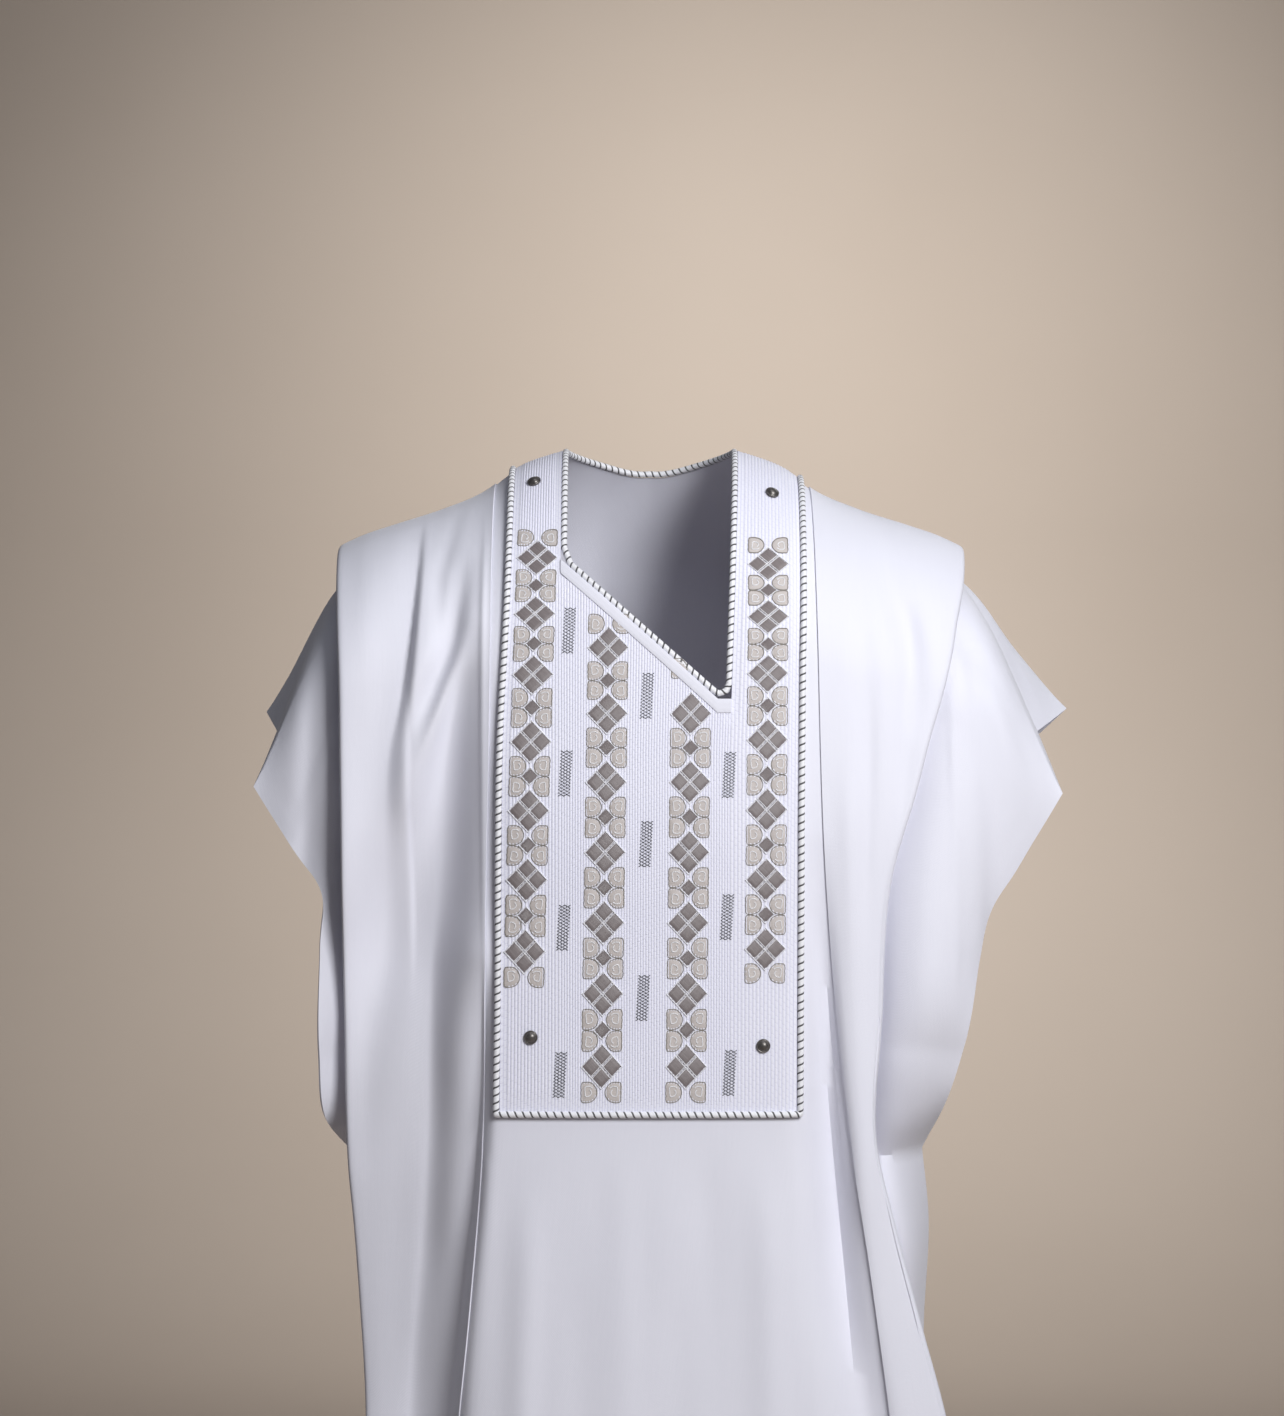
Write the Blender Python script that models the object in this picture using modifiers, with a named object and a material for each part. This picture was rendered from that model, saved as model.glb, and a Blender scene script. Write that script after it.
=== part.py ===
"""A grand boubou: the wide white robe of crisp cotton, worn over both shoulders, with an embroidered
yoke, an asymmetric neck opening, pleated shoulders and open sleeves.

Each piece that a maker would cut and sew is one closed wall of cloth. A panel is a surface of rows
and columns: the rows start at the shoulder seam and run round over the shoulder and down to the hem,
and the columns are named lines of the cut. The origin is the base of the neck, level with the points
where the robe leaves the neck. +X is the wearer's left and -Y the front. A "drop" is a distance below
the origin, "out" a distance from the middle, and "depth" a distance to the front or the back.
"""

import math

import bpy
import numpy as np
from mathutils import Vector

# Driving dimensions, in metres
LENGTH = 1.38  # from the neck to the hem
ARMHOLE = 0.605  # from the neck to the lower end of each sleeve opening
CLOTH = 0.002  # wall of a panel, with its turnings
BAND = 0.0012  # wall of the turned strip on the yoke
GAP = 0.0003  # between pieces that meet
LAP_WIDTH = 0.008  # how far a side width lies over the centre width
LAP_EASE = 0.05  # where that lift has died away
YOKE_DEPTH = 0.559  # drop of the yoke's lower edge
CORD = 0.003  # radius of the piping
CORD_CLEAR = CORD + 0.0004  # from the cord's middle to the edge that it runs along
NECK_WIDTH = 0.073  # half of the neck opening at the shoulder seam, to the cord's middle
NECK_BACK = 0.068  # depth of the back neckline
NECK_LEAN_RIGHT = 0.001  # how far each upright edge of the neck leans in by its foot
NECK_LEAN_LEFT = 0.0078
NECK_FOOT = 0.211  # drop of the neck opening's lowest point in front
SLANT_TOP = 0.0995  # drop of the diagonal's upper end, on the wearer's right
SLANT_DROP = 0.116  # how far the diagonal comes down
SLANT_SHARE = 0.92  # how much of the opening's width it takes; the rest is level
BAND_WIDTH = 0.0115  # height of the turned strip, measured straight down
NECK_TURN = np.linspace(0, math.pi, 13)  # angles round the back neckline
STUD = 0.0058  # radius of a stud
STUD_RISE = 0.0034
STUD_BASE = 0.0006  # depth of its flat base
STUD_TURNS = 14
FOLD_FADE = 0.10  # length over which a fold comes and goes
OVAL_WIDTH = 0.36  # half width of the oval that the body follows
OVAL_FLARE = 0.03  # what the hem adds to it
OVAL_POWER = 2.5

FRONT, BACK = -1, 1
# How far the cloth comes down as it rounds the shoulder: on the middle line, and less for each metre out
FALL = {FRONT: (0.180, 0.185), BACK: (0.125, 0.110)}
LEFT, RIGHT = 1, -1
SIDE_NAME = {LEFT: "left", RIGHT: "right"}

WHITE = (0.84, 0.84, 0.89)
YOKE_WHITE = (0.80, 0.80, 0.87)
CORD_GREY = (0.55, 0.54, 0.57)
STUD_GREY = (0.12, 0.115, 0.12)


def table(names, *rows):
    """A small table: each column's name with its values, one from each row."""
    return dict(zip(names.split(), np.array(rows, float).T))


def read(columns, name, place):
    """A column's value at any place along the first column, on a cubic through the rows."""
    places = next(iter(columns.values()))
    values = columns[name]
    slopes = np.gradient(values, places)
    i = np.clip(np.searchsorted(places, place) - 1, 0, len(places) - 2)
    step = places[i + 1] - places[i]
    t = np.clip((place - places[i]) / step, 0, 1)
    start = values[i] * (1 + 2 * t) * (1 - t) ** 2 + slopes[i] * step * t * (1 - t) ** 2
    end = values[i + 1] * (3 - 2 * t) * t**2 - slopes[i + 1] * step * t**2 * (1 - t)
    return start + end


def ease(t):
    """A smooth step from 0 to 1."""
    t = np.clip(t, 0, 1)
    return t * t * (3 - 2 * t)


# The worn body of the robe: how deep it stands in the middle of the front and of the back
BODY = table(
    "drop front back",
    (0.00, 0.112, 0.100),
    (0.10, 0.128, 0.120),
    (0.20, 0.140, 0.130),
    (0.30, 0.146, 0.132),
    (0.45, 0.143, 0.124),
    (0.60, 0.142, 0.122),
    (0.84, 0.150, 0.135),
    (1.10, 0.168, 0.155),
    (1.38, 0.190, 0.182),
)
# The line of the shoulders, from the middle of the neck to the tip
SHOULDER = table(
    "out drop",
    (0.000, -0.018),
    (0.040, -0.012),
    (0.075, 0.001),
    (0.120, 0.019),
    (0.140, 0.034),
    (0.180, 0.050),
    (0.220, 0.063),
    (0.250, 0.073),
    (0.272, 0.083),
    (0.300, 0.094),
)
# Where each side width laps over the centre one, beside the yoke, and how far its edge is lifted
LAP = table(
    "drop left right lift",
    (0.00, 0.138, 0.134, 0.0034),
    (0.16, 0.140, 0.134, 0.0034),
    (0.38, 0.147, 0.137, 0.0038),
    (0.50, 0.157, 0.138, 0.0045),
    (0.60, 0.170, 0.140, 0.0050),
    (0.72, 0.187, 0.150, 0.0060),
    (0.82, 0.200, 0.161, 0.0060),
    (1.10, 0.222, 0.184, 0.0060),
    (1.38, 0.240, 0.200, 0.0060),
)
# The middle of the piping down the yoke's two sides
PIPING_LINE = table(
    "drop left right",
    (0.00, 0.1282, 0.1170),
    (0.13, 0.1276, 0.1193),
    (0.24, 0.1262, 0.1244),
    (0.37, 0.1250, 0.1259),
    (0.56, 0.1237, 0.1278),
)
# The side seams under the sleeves
SIDE_SEAM = table(
    "drop left right",
    (0.605, 0.2365, 0.262),
    (0.660, 0.2420, 0.240),
    (0.760, 0.2380, 0.228),
    (0.840, 0.2380, 0.225),
    (1.100, 0.2620, 0.250),
    (1.380, 0.2900, 0.282),
)
# The pleat that takes up the sleeve: its outer fold, how far the cloth tucks back under it (less than
# nothing where it opens out flat) and how far apart its layers lie
PLEAT = {
    (FRONT, LEFT): table(
        "drop fold tuck layer swell",
        (0.085, 0.272, 0.055, 0.008, 0.000),
        (0.120, 0.267, 0.046, 0.008, 0.000),
        (0.150, 0.260, 0.036, 0.008, 0.006),
        (0.180, 0.254, 0.026, 0.006, 0.008),
        (0.215, 0.245, 0.018, 0.006, 0.010),
        (0.245, 0.236, 0.016, 0.006, 0.011),
        (0.294, 0.223, 0.018, 0.006, 0.012),
        (0.358, 0.204, 0.022, 0.006, 0.013),
        (0.485, 0.194, 0.026, 0.006, 0.014),
        (0.590, 0.190, 0.028, 0.006, 0.012),
        (0.652, 0.204, 0.026, 0.006, 0.008),
        (0.737, 0.2265, 0.030, 0.007, 0.010),
        (0.817, 0.248, 0.036, 0.008, 0.012),
        (1.100, 0.276, 0.034, 0.008, 0.020),
        (1.380, 0.306, 0.030, 0.008, 0.030),
    ),
    (FRONT, RIGHT): table(
        "drop fold tuck layer swell",
        (0.085, 0.270, 0.055, 0.008, 0.000),
        (0.200, 0.262, 0.055, 0.008, 0.000),
        (0.320, 0.260, 0.052, 0.008, 0.000),
        (0.480, 0.259, 0.050, 0.008, 0.000),
        (0.617, 0.256, 0.045, 0.008, 0.000),
        (0.660, 0.252, 0.042, 0.008, 0.000),
        (0.730, 0.247, 0.042, 0.008, 0.000),
        (0.817, 0.242, 0.042, 0.008, 0.012),
        (1.100, 0.266, 0.038, 0.008, 0.022),
        (1.380, 0.298, 0.034, 0.008, 0.032),
    ),
    (BACK, LEFT): table(
        "drop fold tuck layer swell",
        (0.085, 0.272, 0.055, 0.008, 0.000),
        (0.200, 0.262, 0.052, 0.008, 0.000),
        (0.400, 0.252, 0.046, 0.008, 0.000),
        (0.605, 0.242, 0.042, 0.008, 0.000),
        (0.817, 0.238, 0.040, 0.008, 0.014),
        (1.100, 0.262, 0.036, 0.008, 0.022),
        (1.380, 0.294, 0.032, 0.008, 0.030),
    ),
    (BACK, RIGHT): table(
        "drop fold tuck layer swell",
        (0.085, 0.270, 0.055, 0.008, 0.000),
        (0.200, 0.264, 0.050, 0.008, 0.000),
        (0.400, 0.256, 0.048, 0.008, 0.000),
        (0.605, 0.246, 0.044, 0.008, 0.000),
        (0.817, 0.236, 0.042, 0.008, 0.012),
        (1.100, 0.258, 0.038, 0.008, 0.024),
        (1.380, 0.290, 0.034, 0.008, 0.030),
    ),
}
# The sleeve's edge, from its middle over the arm (row 0) to the lower end of the opening (row 2). It
# runs straight from each place to the next, with its corner a little way past the arm
SLEEVE_EDGE = {
    (FRONT, LEFT): table(
        "row out depth drop",
        (0.000, 0.3370, 0.000, 0.243),
        (0.458, 0.3520, 0.060, 0.296),
        (1.000, 0.3215, 0.072, 0.346),
        (1.250, 0.2910, 0.080, 0.396),
        (1.500, 0.2790, 0.084, 0.436),
        (1.750, 0.2660, 0.084, 0.510),
        (1.900, 0.2500, 0.062, 0.565),
        (2.000, 0.2365, 0.000, 0.605),
    ),
    (FRONT, RIGHT): table(
        "row out depth drop",
        (0.000, 0.3240, 0.000, 0.244),
        (0.449, 0.3370, 0.070, 0.290),
        (1.000, 0.3045, 0.080, 0.340),
        (1.250, 0.2780, 0.086, 0.380),
        (1.500, 0.2800, 0.090, 0.428),
        (1.750, 0.2800, 0.086, 0.516),
        (1.900, 0.2760, 0.062, 0.575),
        (2.000, 0.2620, 0.000, 0.605),
    ),
    (BACK, LEFT): table(
        "row out depth drop",
        (0.000, 0.3370, 0.000, 0.243),
        (0.500, 0.3680, 0.058, 0.224),
        (1.000, 0.3300, 0.084, 0.262),
        (1.250, 0.3050, 0.094, 0.335),
        (1.500, 0.2870, 0.098, 0.425),
        (1.750, 0.2640, 0.096, 0.510),
        (1.900, 0.2480, 0.068, 0.565),
        (2.000, 0.2365, 0.000, 0.605),
    ),
    (BACK, RIGHT): table(
        "row out depth drop",
        (0.000, 0.3240, 0.000, 0.244),
        (0.500, 0.3390, 0.058, 0.2265),
        (1.000, 0.3050, 0.084, 0.262),
        (1.250, 0.2900, 0.092, 0.335),
        (1.500, 0.2800, 0.096, 0.430),
        (1.750, 0.2720, 0.094, 0.510),
        (1.900, 0.2680, 0.066, 0.565),
        (2.000, 0.2620, 0.000, 0.605),
    ),
}
# How far the sleeve stands up over the arm between the pleat and its edge
ARM_ROWS = 0.45  # rows over which it changes from the middle of the arm to the front or the back
SLEEVE_ROUND = {(FRONT, LEFT): 0.066, (FRONT, RIGHT): 0.062, (BACK, LEFT): 0.046, (BACK, RIGHT): 0.060}
# The studs near the yoke's corners, x to the wearer's left
STUDS = table(
    "x drop",
    (-0.0983, 0.0320),
    (0.1030, 0.0420),
    (-0.0994, 0.4970),
    (0.0938, 0.5040),
)
# Long folds. Each runs from its top to its foot on a line through three places across, x to the
# wearer's left. Its height is positive for a ridge and negative for a trough, at its top and its foot
FOLD_COLUMNS = "top foot x_top x_middle x_foot height_top height_foot spread_right spread_left"
FOLDS = {
    FRONT: table(
        FOLD_COLUMNS,
        (0.06, 0.50, -0.193, -0.215, -0.238, -0.012, -0.005, 0.020, 0.014),
        (0.10, 0.25, -0.153, -0.166, -0.192, -0.006, -0.004, 0.012, 0.012),
        (0.22, 1.38, -0.150, -0.188, -0.205, -0.010, -0.028, 0.016, 0.016),
        (0.46, 1.38, -0.140, -0.170, -0.186, -0.006, -0.020, 0.014, 0.012),
        (0.08, 0.26, 0.202, 0.218, 0.224, -0.006, -0.003, 0.016, 0.014),
        (0.36, 1.38, 0.140, 0.188, 0.228, -0.008, -0.022, 0.018, 0.016),
        (0.90, 1.38, -0.070, -0.082, -0.098, -0.004, -0.030, 0.026, 0.026),
        (0.95, 1.38, 0.040, 0.056, 0.074, -0.004, -0.032, 0.028, 0.026),
    ),
    BACK: table(
        FOLD_COLUMNS,
        (0.08, 1.38, -0.186, -0.200, -0.206, -0.010, -0.030, 0.020, 0.018),
        (0.20, 1.38, -0.110, -0.124, -0.132, -0.008, -0.032, 0.022, 0.026),
        (0.30, 1.38, -0.036, -0.044, -0.052, -0.005, -0.030, 0.026, 0.024),
        (0.26, 1.38, 0.040, 0.046, 0.050, -0.006, -0.034, 0.024, 0.026),
        (0.16, 1.38, 0.112, 0.122, 0.134, -0.009, -0.030, 0.024, 0.020),
        (0.06, 1.38, 0.190, 0.198, 0.212, -0.011, -0.030, 0.018, 0.020),
    ),
}


def folds(x, drop, face):
    """How far the folds stand out: each a bell across its line, fading in below its top."""
    height = np.zeros(np.broadcast(x, drop).shape)
    columns = FOLDS[face]
    for top, foot, x_top, x_middle, x_foot, high, low, right, left in zip(*columns.values()):
        along = np.clip((drop - top) / (foot - top), 0, 1)
        bow = 2 * x_middle - (x_top + x_foot) / 2
        line = x_top * (1 - along) ** 2 + 2 * bow * along * (1 - along) + x_foot * along**2
        across = x - line
        bell = np.exp(-((across / np.where(across < 0, right, left)) ** 2))
        fade_in = ease((drop - top) / FOLD_FADE)
        fade_out = 1 - ease((drop - foot) / FOLD_FADE) if foot < LENGTH else 1
        height = height + (high + (low - high) * along) * bell * fade_in * fade_out
    return height


def row_drop(out, row, face, inset):
    """Drop of a row on the column that leaves the shoulder line at out: a quarter ellipse over the
    shoulder from row 0 to 1, then even steps to the armhole at row 2 and to the hem at row 3."""
    crown = read(SHOULDER, "drop", out) + inset
    fall_middle, fall_less = FALL[face]
    fall = fall_middle - fall_less * out
    over = crown + fall * (1 - np.cos(np.minimum(row, 1) * math.pi / 2))
    down = (ARMHOLE - crown - fall) * np.clip(row - 1, 0, 1)
    return over + down + (LENGTH - ARMHOLE) * np.clip(row - 2, 0, 1)


def body_depth(x, drop, row, face, inset):
    """Depth of the worn body: a flattened oval with its folds, drawn in to nothing at row 0."""
    middle = read(BODY, "front" if face == FRONT else "back", drop)
    half_width = OVAL_WIDTH + OVAL_FLARE * drop / LENGTH
    oval = middle * (1 - np.minimum(np.abs(x) / half_width, 1) ** OVAL_POWER) ** (1 / OVAL_POWER)
    return (oval + folds(x, drop, face) - inset) * np.sin(np.minimum(row, 1) * math.pi / 2)


def points(x, depth, drop, face):
    """Points in space; a seam in the plane y = 0 is kept half a gap away from it."""
    depth = np.maximum(depth, GAP / 2)
    x, y, z = np.broadcast_arrays(x, face * depth, -drop)
    return np.stack([x, y, z], axis=-1)


def unit_normals(grid):
    """Normals of a grid of points; both sides of a seam in the plane y = 0 get the same ones."""
    normals = np.cross(np.gradient(grid, axis=1), np.gradient(grid, axis=0))
    normals[np.abs(grid[..., 1]) < GAP, 1] = 0
    return normals / np.linalg.norm(normals, axis=-1, keepdims=True)


def outward_normals(grid, face):
    """Unit normals turned to the outside of the robe on the grid's first column."""
    normals = unit_normals(grid)
    return normals * np.sign(normals[-2, 0, 1] * face)


# ---------------------------------------------------------------- making objects

def material(name, colour, roughness):
    made = bpy.data.materials.new(name)
    made.use_nodes = True
    shader = made.node_tree.nodes["Principled BSDF"]
    shader.inputs["Base Color"].default_value = (*colour, 1)
    shader.inputs["Roughness"].default_value = roughness
    shader.inputs["Metallic"].default_value = 0
    return made


def add(name, mesh, finish):
    made = bpy.data.objects.new(name, mesh)
    made.data.materials.append(finish)
    robe.objects.link(made)
    return made


def wall(name, grid, normals, finish, thickness=CLOTH, lift=0.0, keep=None):
    """A wall of cloth: the grid moved out by lift to its inner face, then by the thickness to its
    outer one, with rims round its edges. keep says which cells of the grid are cloth."""
    rows, columns = grid.shape[:2]
    inner = (grid + normals * lift).reshape(-1, 3)
    outer = (grid + normals * (lift + thickness)).reshape(-1, 3)
    index = np.arange(rows * columns).reshape(rows, columns)
    cells = np.stack([index[:-1, :-1], index[1:, :-1], index[1:, 1:], index[:-1, 1:]], axis=-1)
    if keep is not None:
        cells = cells[keep]
    cells = cells.reshape(-1, 4)
    facing = np.cross(np.gradient(grid, axis=1), np.gradient(grid, axis=0))
    if np.sum(facing[-2, 0] * normals[-2, 0]) > 0:
        cells = cells[:, ::-1]
    count = rows * columns
    directed = {(a, b) for cell in cells for a, b in zip(cell, np.roll(cell, -1))}
    rims = sorted((b, a, a + count, b + count) for a, b in directed if (b, a) not in directed)
    halves = np.concatenate([cells[:, [0, 1, 2]], cells[:, [0, 2, 3]]])
    back_halves = halves[:, ::-1] + count
    rim_halves = np.array(rims)[:, [0, 1, 2, 0, 2, 3]].reshape(-1, 3)
    faces = np.concatenate([halves, back_halves, rim_halves])
    used, faces_flat = np.unique(faces, return_inverse=True)
    vertices = np.concatenate([outer, inner])[used]
    mesh = bpy.data.meshes.new(name)
    mesh.from_pydata(vertices.tolist(), [], faces_flat.reshape(-1, 3).tolist())
    mesh.shade_smooth()
    mesh.set_sharp_from_angle(angle=math.radians(50))
    return add(name, mesh, finish)


def cord(name, path, finish, closed=False):
    """Piping: a round tube along a path."""
    curve = bpy.data.curves.new(name, "CURVE")
    curve.dimensions = "3D"
    curve.bevel_depth = CORD
    curve.bevel_resolution = 1
    curve.use_fill_caps = not closed
    spline = curve.splines.new("POLY")
    spline.points.add(len(path) - 1)
    spline.points.foreach_set("co", np.column_stack([path, np.ones(len(path))]).ravel())
    spline.use_cyclic_u = closed
    return add(name, curve, finish)


# ---------------------------------------------------------------- the side widths

# Columns of a side width over its pleat: share of the flat top layer, share of the tuck, how many
# layers down, and a small step in that rounds each fold
PLEAT_COLUMNS = table(
    "top tuck layers step",
    (0.00, 0.0, 0.00, 0.000),
    (0.06, 0.0, 0.00, 0.000),
    (0.17, 0.0, 0.00, 0.000),
    (0.29, 0.0, 0.00, 0.000),
    (0.42, 0.0, 0.00, 0.000),
    (0.56, 0.0, 0.00, 0.000),
    (0.70, 0.0, 0.00, 0.000),
    (0.85, 0.0, 0.00, 0.000),
    (1.00, 0.0, 0.00, 0.004),
    (1.00, 0.0, 0.45, 0.000),
    (1.00, 0.0, 1.00, 0.004),
    (1.00, 0.5, 1.20, 0.004),
    (1.00, 1.0, 1.30, 0.002),
    (1.00, 1.0, 1.80, 0.006),
    (1.00, 1.0, 2.40, 0.002),
)
SLEEVE_SHARES = np.array([0.12, 0.27, 0.43, 0.60, 0.78, 0.90, 1.00])


def side_grid(face, side, rows):
    """Points of a side width: the top layer from the lap to the pleat's fold, the tuck under it, and
    the sleeve from the tuck out to its edge, which becomes the side seam below the armhole."""
    row = rows[:, None]
    pleat = PLEAT[face, side]
    lap_side = SIDE_NAME[side]
    top, tuck, layers, step = PLEAT_COLUMNS.values()
    lap_top, fold_top = LAP[lap_side][0], pleat["fold"][0]
    tuck_top, layer_top = pleat["tuck"][0], pleat["layer"][0]
    crown_out = lap_top + (fold_top - lap_top) * top - tuck_top * tuck - step
    lapping = (1 - ease((crown_out - lap_top) / LAP_EASE)) * (top < 1)
    drop = row_drop(crown_out, row, face, layer_top * layers - LAP["lift"][0] * lapping)
    lap = read(LAP, lap_side, drop)
    fold = read(pleat, "fold", drop)
    out = lap + (fold - lap) * top - read(pleat, "tuck", drop) * tuck - step
    lapping = (1 - ease((out - lap) / LAP_EASE)) * (top < 1)
    inset = read(pleat, "layer", drop) * layers - read(LAP, "lift", drop) * lapping
    depth = body_depth(side * out, drop, row, face, inset)
    over_pleat = points(side * out, depth, drop, face)

    edge = SLEEVE_EDGE[face, side]
    below = ARMHOLE + (LENGTH - ARMHOLE) * np.clip(rows - 2, 0, 1)
    on_seam = rows >= 2
    edge_drop = np.where(on_seam, below, np.interp(rows, edge["row"], edge["drop"]))
    edge_out = np.where(on_seam, read(SIDE_SEAM, lap_side, below), np.interp(rows, edge["row"], edge["out"]))
    edge_depth = np.where(on_seam, 0, np.interp(rows, edge["row"], edge["depth"]))
    share = SLEEVE_SHARES[None, :]
    start = [over_pleat[:, -1:, 0] * side, over_pleat[:, -1:, 1] * face, -over_pleat[:, -1:, 2]]
    end = [edge_out[:, None], edge_depth[:, None], edge_drop[:, None]]
    out, depth, drop = [a + (b - a) * share for a, b in zip(start, end)]
    over_arm = (SLEEVE_ROUND[FRONT, side] + SLEEVE_ROUND[BACK, side]) / 2
    rise = over_arm + (SLEEVE_ROUND[face, side] - over_arm) * ease(row / ARM_ROWS)
    drop = drop - rise * 4 * (share * (1 - share)) ** 1.25 * (1 - ease(row - 1))
    fold_out = read(pleat, "fold", drop)
    past_fold = np.clip((out - fold_out) / np.maximum(end[0] - fold_out, 0.001), 0, 1)
    swell = read(pleat, "swell", drop) * np.sin(np.minimum(row, 1) * math.pi / 2)
    depth = depth + swell * 4 * past_fold * (1 - past_fold)
    sleeve = points(side * out, depth, drop, face)
    return np.concatenate([over_pleat, sleeve], axis=1)


# ---------------------------------------------------------------- the centre widths

def neck_edge(drop):
    """The neck opening's two upright edges on the front: x on the wearer's right and on the left."""
    right = -NECK_WIDTH - CORD_CLEAR + NECK_LEAN_RIGHT * drop / NECK_FOOT
    left = NECK_WIDTH + CORD_CLEAR - NECK_LEAN_LEFT * drop / NECK_FOOT
    return right, left


def neck_foot(across):
    """Drop of the neck opening's lower edge: a diagonal down to the wearer's left, then level."""
    return SLANT_TOP + SLANT_DROP * np.minimum(across / SLANT_SHARE, 1)


def row_of_drop(out, drop, face):
    """The row that has a given drop on the column that leaves the shoulder line at out."""
    crown = row_drop(out, 0.0, face, 0)
    end = row_drop(out, 1.0, face, 0)
    on_curve = np.arccos(np.clip(1 - (drop - crown) / (end - crown), -1, 1)) * 2 / math.pi
    upper = 1 + (drop - end) / (ARMHOLE - end)
    return np.where(drop < end, on_curve, np.minimum(upper, 2))


def between(lines, columns):
    """Places across a panel: column 2.5 lies halfway between lines 2 and 3."""
    return sum(line * np.clip(1 - np.abs(columns - i), 0, 1) for i, line in enumerate(lines))


def front_centre_grid():
    """Points of the front centre width, with the yoke's lines among its rows and columns.
    Rows: shoulder to the neck's foot, the turned strip, down to the yoke's edge, down to the hem.
    Lines across: the raw edge, the lap, the yoke's edge and the neck's edge, then back out again."""
    strap = np.array([2, 2.5, 3])
    opening = 3 + np.array([0.18, 0.36, 0.54, 0.73, 0.92, 1.0])
    columns = np.concatenate([[0, 1], strap, opening, [4.4, 5, 6, 7]])
    neck_columns = slice(4, 4 + len(opening))

    def place(drop):
        lap_right, lap_left = -read(LAP, "right", drop), read(LAP, "left", drop)
        yoke_right = -read(PIPING_LINE, "right", drop) + CORD_CLEAR
        yoke_left = read(PIPING_LINE, "left", drop) - CORD_CLEAR
        neck_right, neck_left = neck_edge(np.minimum(drop, 0.26))
        half = [lap_right - LAP_WIDTH, lap_right, yoke_right, neck_right]
        return between(half + [neck_left, yoke_left, lap_left, lap_left + LAP_WIDTH], columns)

    across = np.clip(columns - 3, 0, 1)
    column_out = np.abs(place(np.zeros(len(columns))))
    crown_out = column_out.copy()
    crown_out[[0, -1]] = column_out[[1, -2]]
    marks = [
        np.zeros(len(columns)),
        row_of_drop(crown_out, neck_foot(across), FRONT),
        row_of_drop(crown_out, neck_foot(across) + BAND_WIDTH, FRONT),
        row_of_drop(crown_out, YOKE_DEPTH, FRONT),
        row_of_drop(crown_out, YOKE_DEPTH + 3 * CORD, FRONT),
        np.full(len(columns), 2.0),
        np.full(len(columns), 3.0),
    ]
    cells = [7, 1, 11, 1, 1, 11]
    row = np.concatenate(
        [a + (b - a) * np.arange(n)[:, None] / n for a, b, n in zip(marks, marks[1:], cells)]
        + [marks[-1][None, :]]
    )
    drop = row_drop(column_out, row, FRONT, 0)
    x = place(drop)
    grid = points(x, body_depth(x, drop, row, FRONT, 0), drop, FRONT)
    return grid, neck_columns, np.cumsum(cells), {RIGHT: row[:, 1], LEFT: row[:, -2]}


def back_centre_grid(rows):
    """Points of the back centre width; its columns inside the neck start at the back neckline."""
    neck_half = NECK_WIDTH + CORD_CLEAR
    columns = np.concatenate([[0, 1, 1.5], 2.5 - np.cos(NECK_TURN) / 2, [3.5, 4, 5]])

    def place(drop):
        lap_right, lap_left = -read(LAP, "right", drop), read(LAP, "left", drop)
        half = [lap_right - LAP_WIDTH, lap_right, -neck_half]
        return between(half + [neck_half, lap_left, lap_left + LAP_WIDTH], columns)

    crown_x = place(np.zeros(len(columns)))
    neckline = (NECK_BACK + CORD_CLEAR) * np.sqrt(np.clip(1 - (crown_x / neck_half) ** 2, 0, 1))
    start = np.arcsin(neckline / BODY["back"][0]) * 2 / math.pi
    row = np.where(rows[:, None] < 1, start + (1 - start) * rows[:, None], rows[:, None])
    drop = row_drop(np.abs(crown_x), row, BACK, 0)
    x = place(drop)
    return points(x, body_depth(x, drop, row, BACK, 0), drop, BACK)


# ---------------------------------------------------------------- what lies on the panels

def front_surface(x, drop):
    """Points of the front centre width at any x and drop, for what is laid along it."""
    row = row_of_drop(np.abs(x), drop, FRONT)
    drop = np.maximum(drop, row_drop(np.abs(x), 0.0, FRONT, 0))
    return points(x, body_depth(x, drop, row, FRONT, 0), drop, FRONT)


def neck_path():
    """The middle of the neck piping: down the wearer's right, along the diagonal and the short level
    stretch, up the wearer's left, and round the back neckline."""
    down = np.linspace(0.004, 0.088, 8)
    slant = np.linspace(0.04, 0.90, 12)
    up = np.linspace(NECK_FOOT - 0.008, 0.004, 15)
    clear = (CORD_CLEAR + 2 * GAP) / math.cos(math.atan2(SLANT_DROP, SLANT_SHARE * 2 * NECK_WIDTH))
    slant_right, _ = neck_edge(SLANT_TOP)
    _, slant_left = neck_edge(NECK_FOOT)
    slant_x = slant_right + CORD_CLEAR + (slant_left - slant_right - 2 * CORD_CLEAR) * slant
    level_x = slant_left - CORD_CLEAR - np.array([0.0085, 0.0025])
    level_drop = NECK_FOOT - np.array([0.0001, 0.0020])
    x = np.concatenate([neck_edge(down)[0] + CORD_CLEAR, slant_x, level_x, neck_edge(up)[1] - CORD_CLEAR])
    slant_drop = neck_foot((slant_x - slant_right) / (slant_left - slant_right)) - clear
    drop = np.concatenate([down, slant_drop, level_drop, up])
    front = front_surface(x, drop)
    back_x = NECK_WIDTH * np.cos(NECK_TURN)
    row = np.arcsin(NECK_BACK * np.sin(NECK_TURN) / BODY["back"][0]) * 2 / math.pi
    back_drop = row_drop(np.abs(back_x), row, BACK, 0)
    back = points(back_x, body_depth(back_x, back_drop, row, BACK, 0), back_drop, BACK)
    return np.concatenate([front, back])


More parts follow.
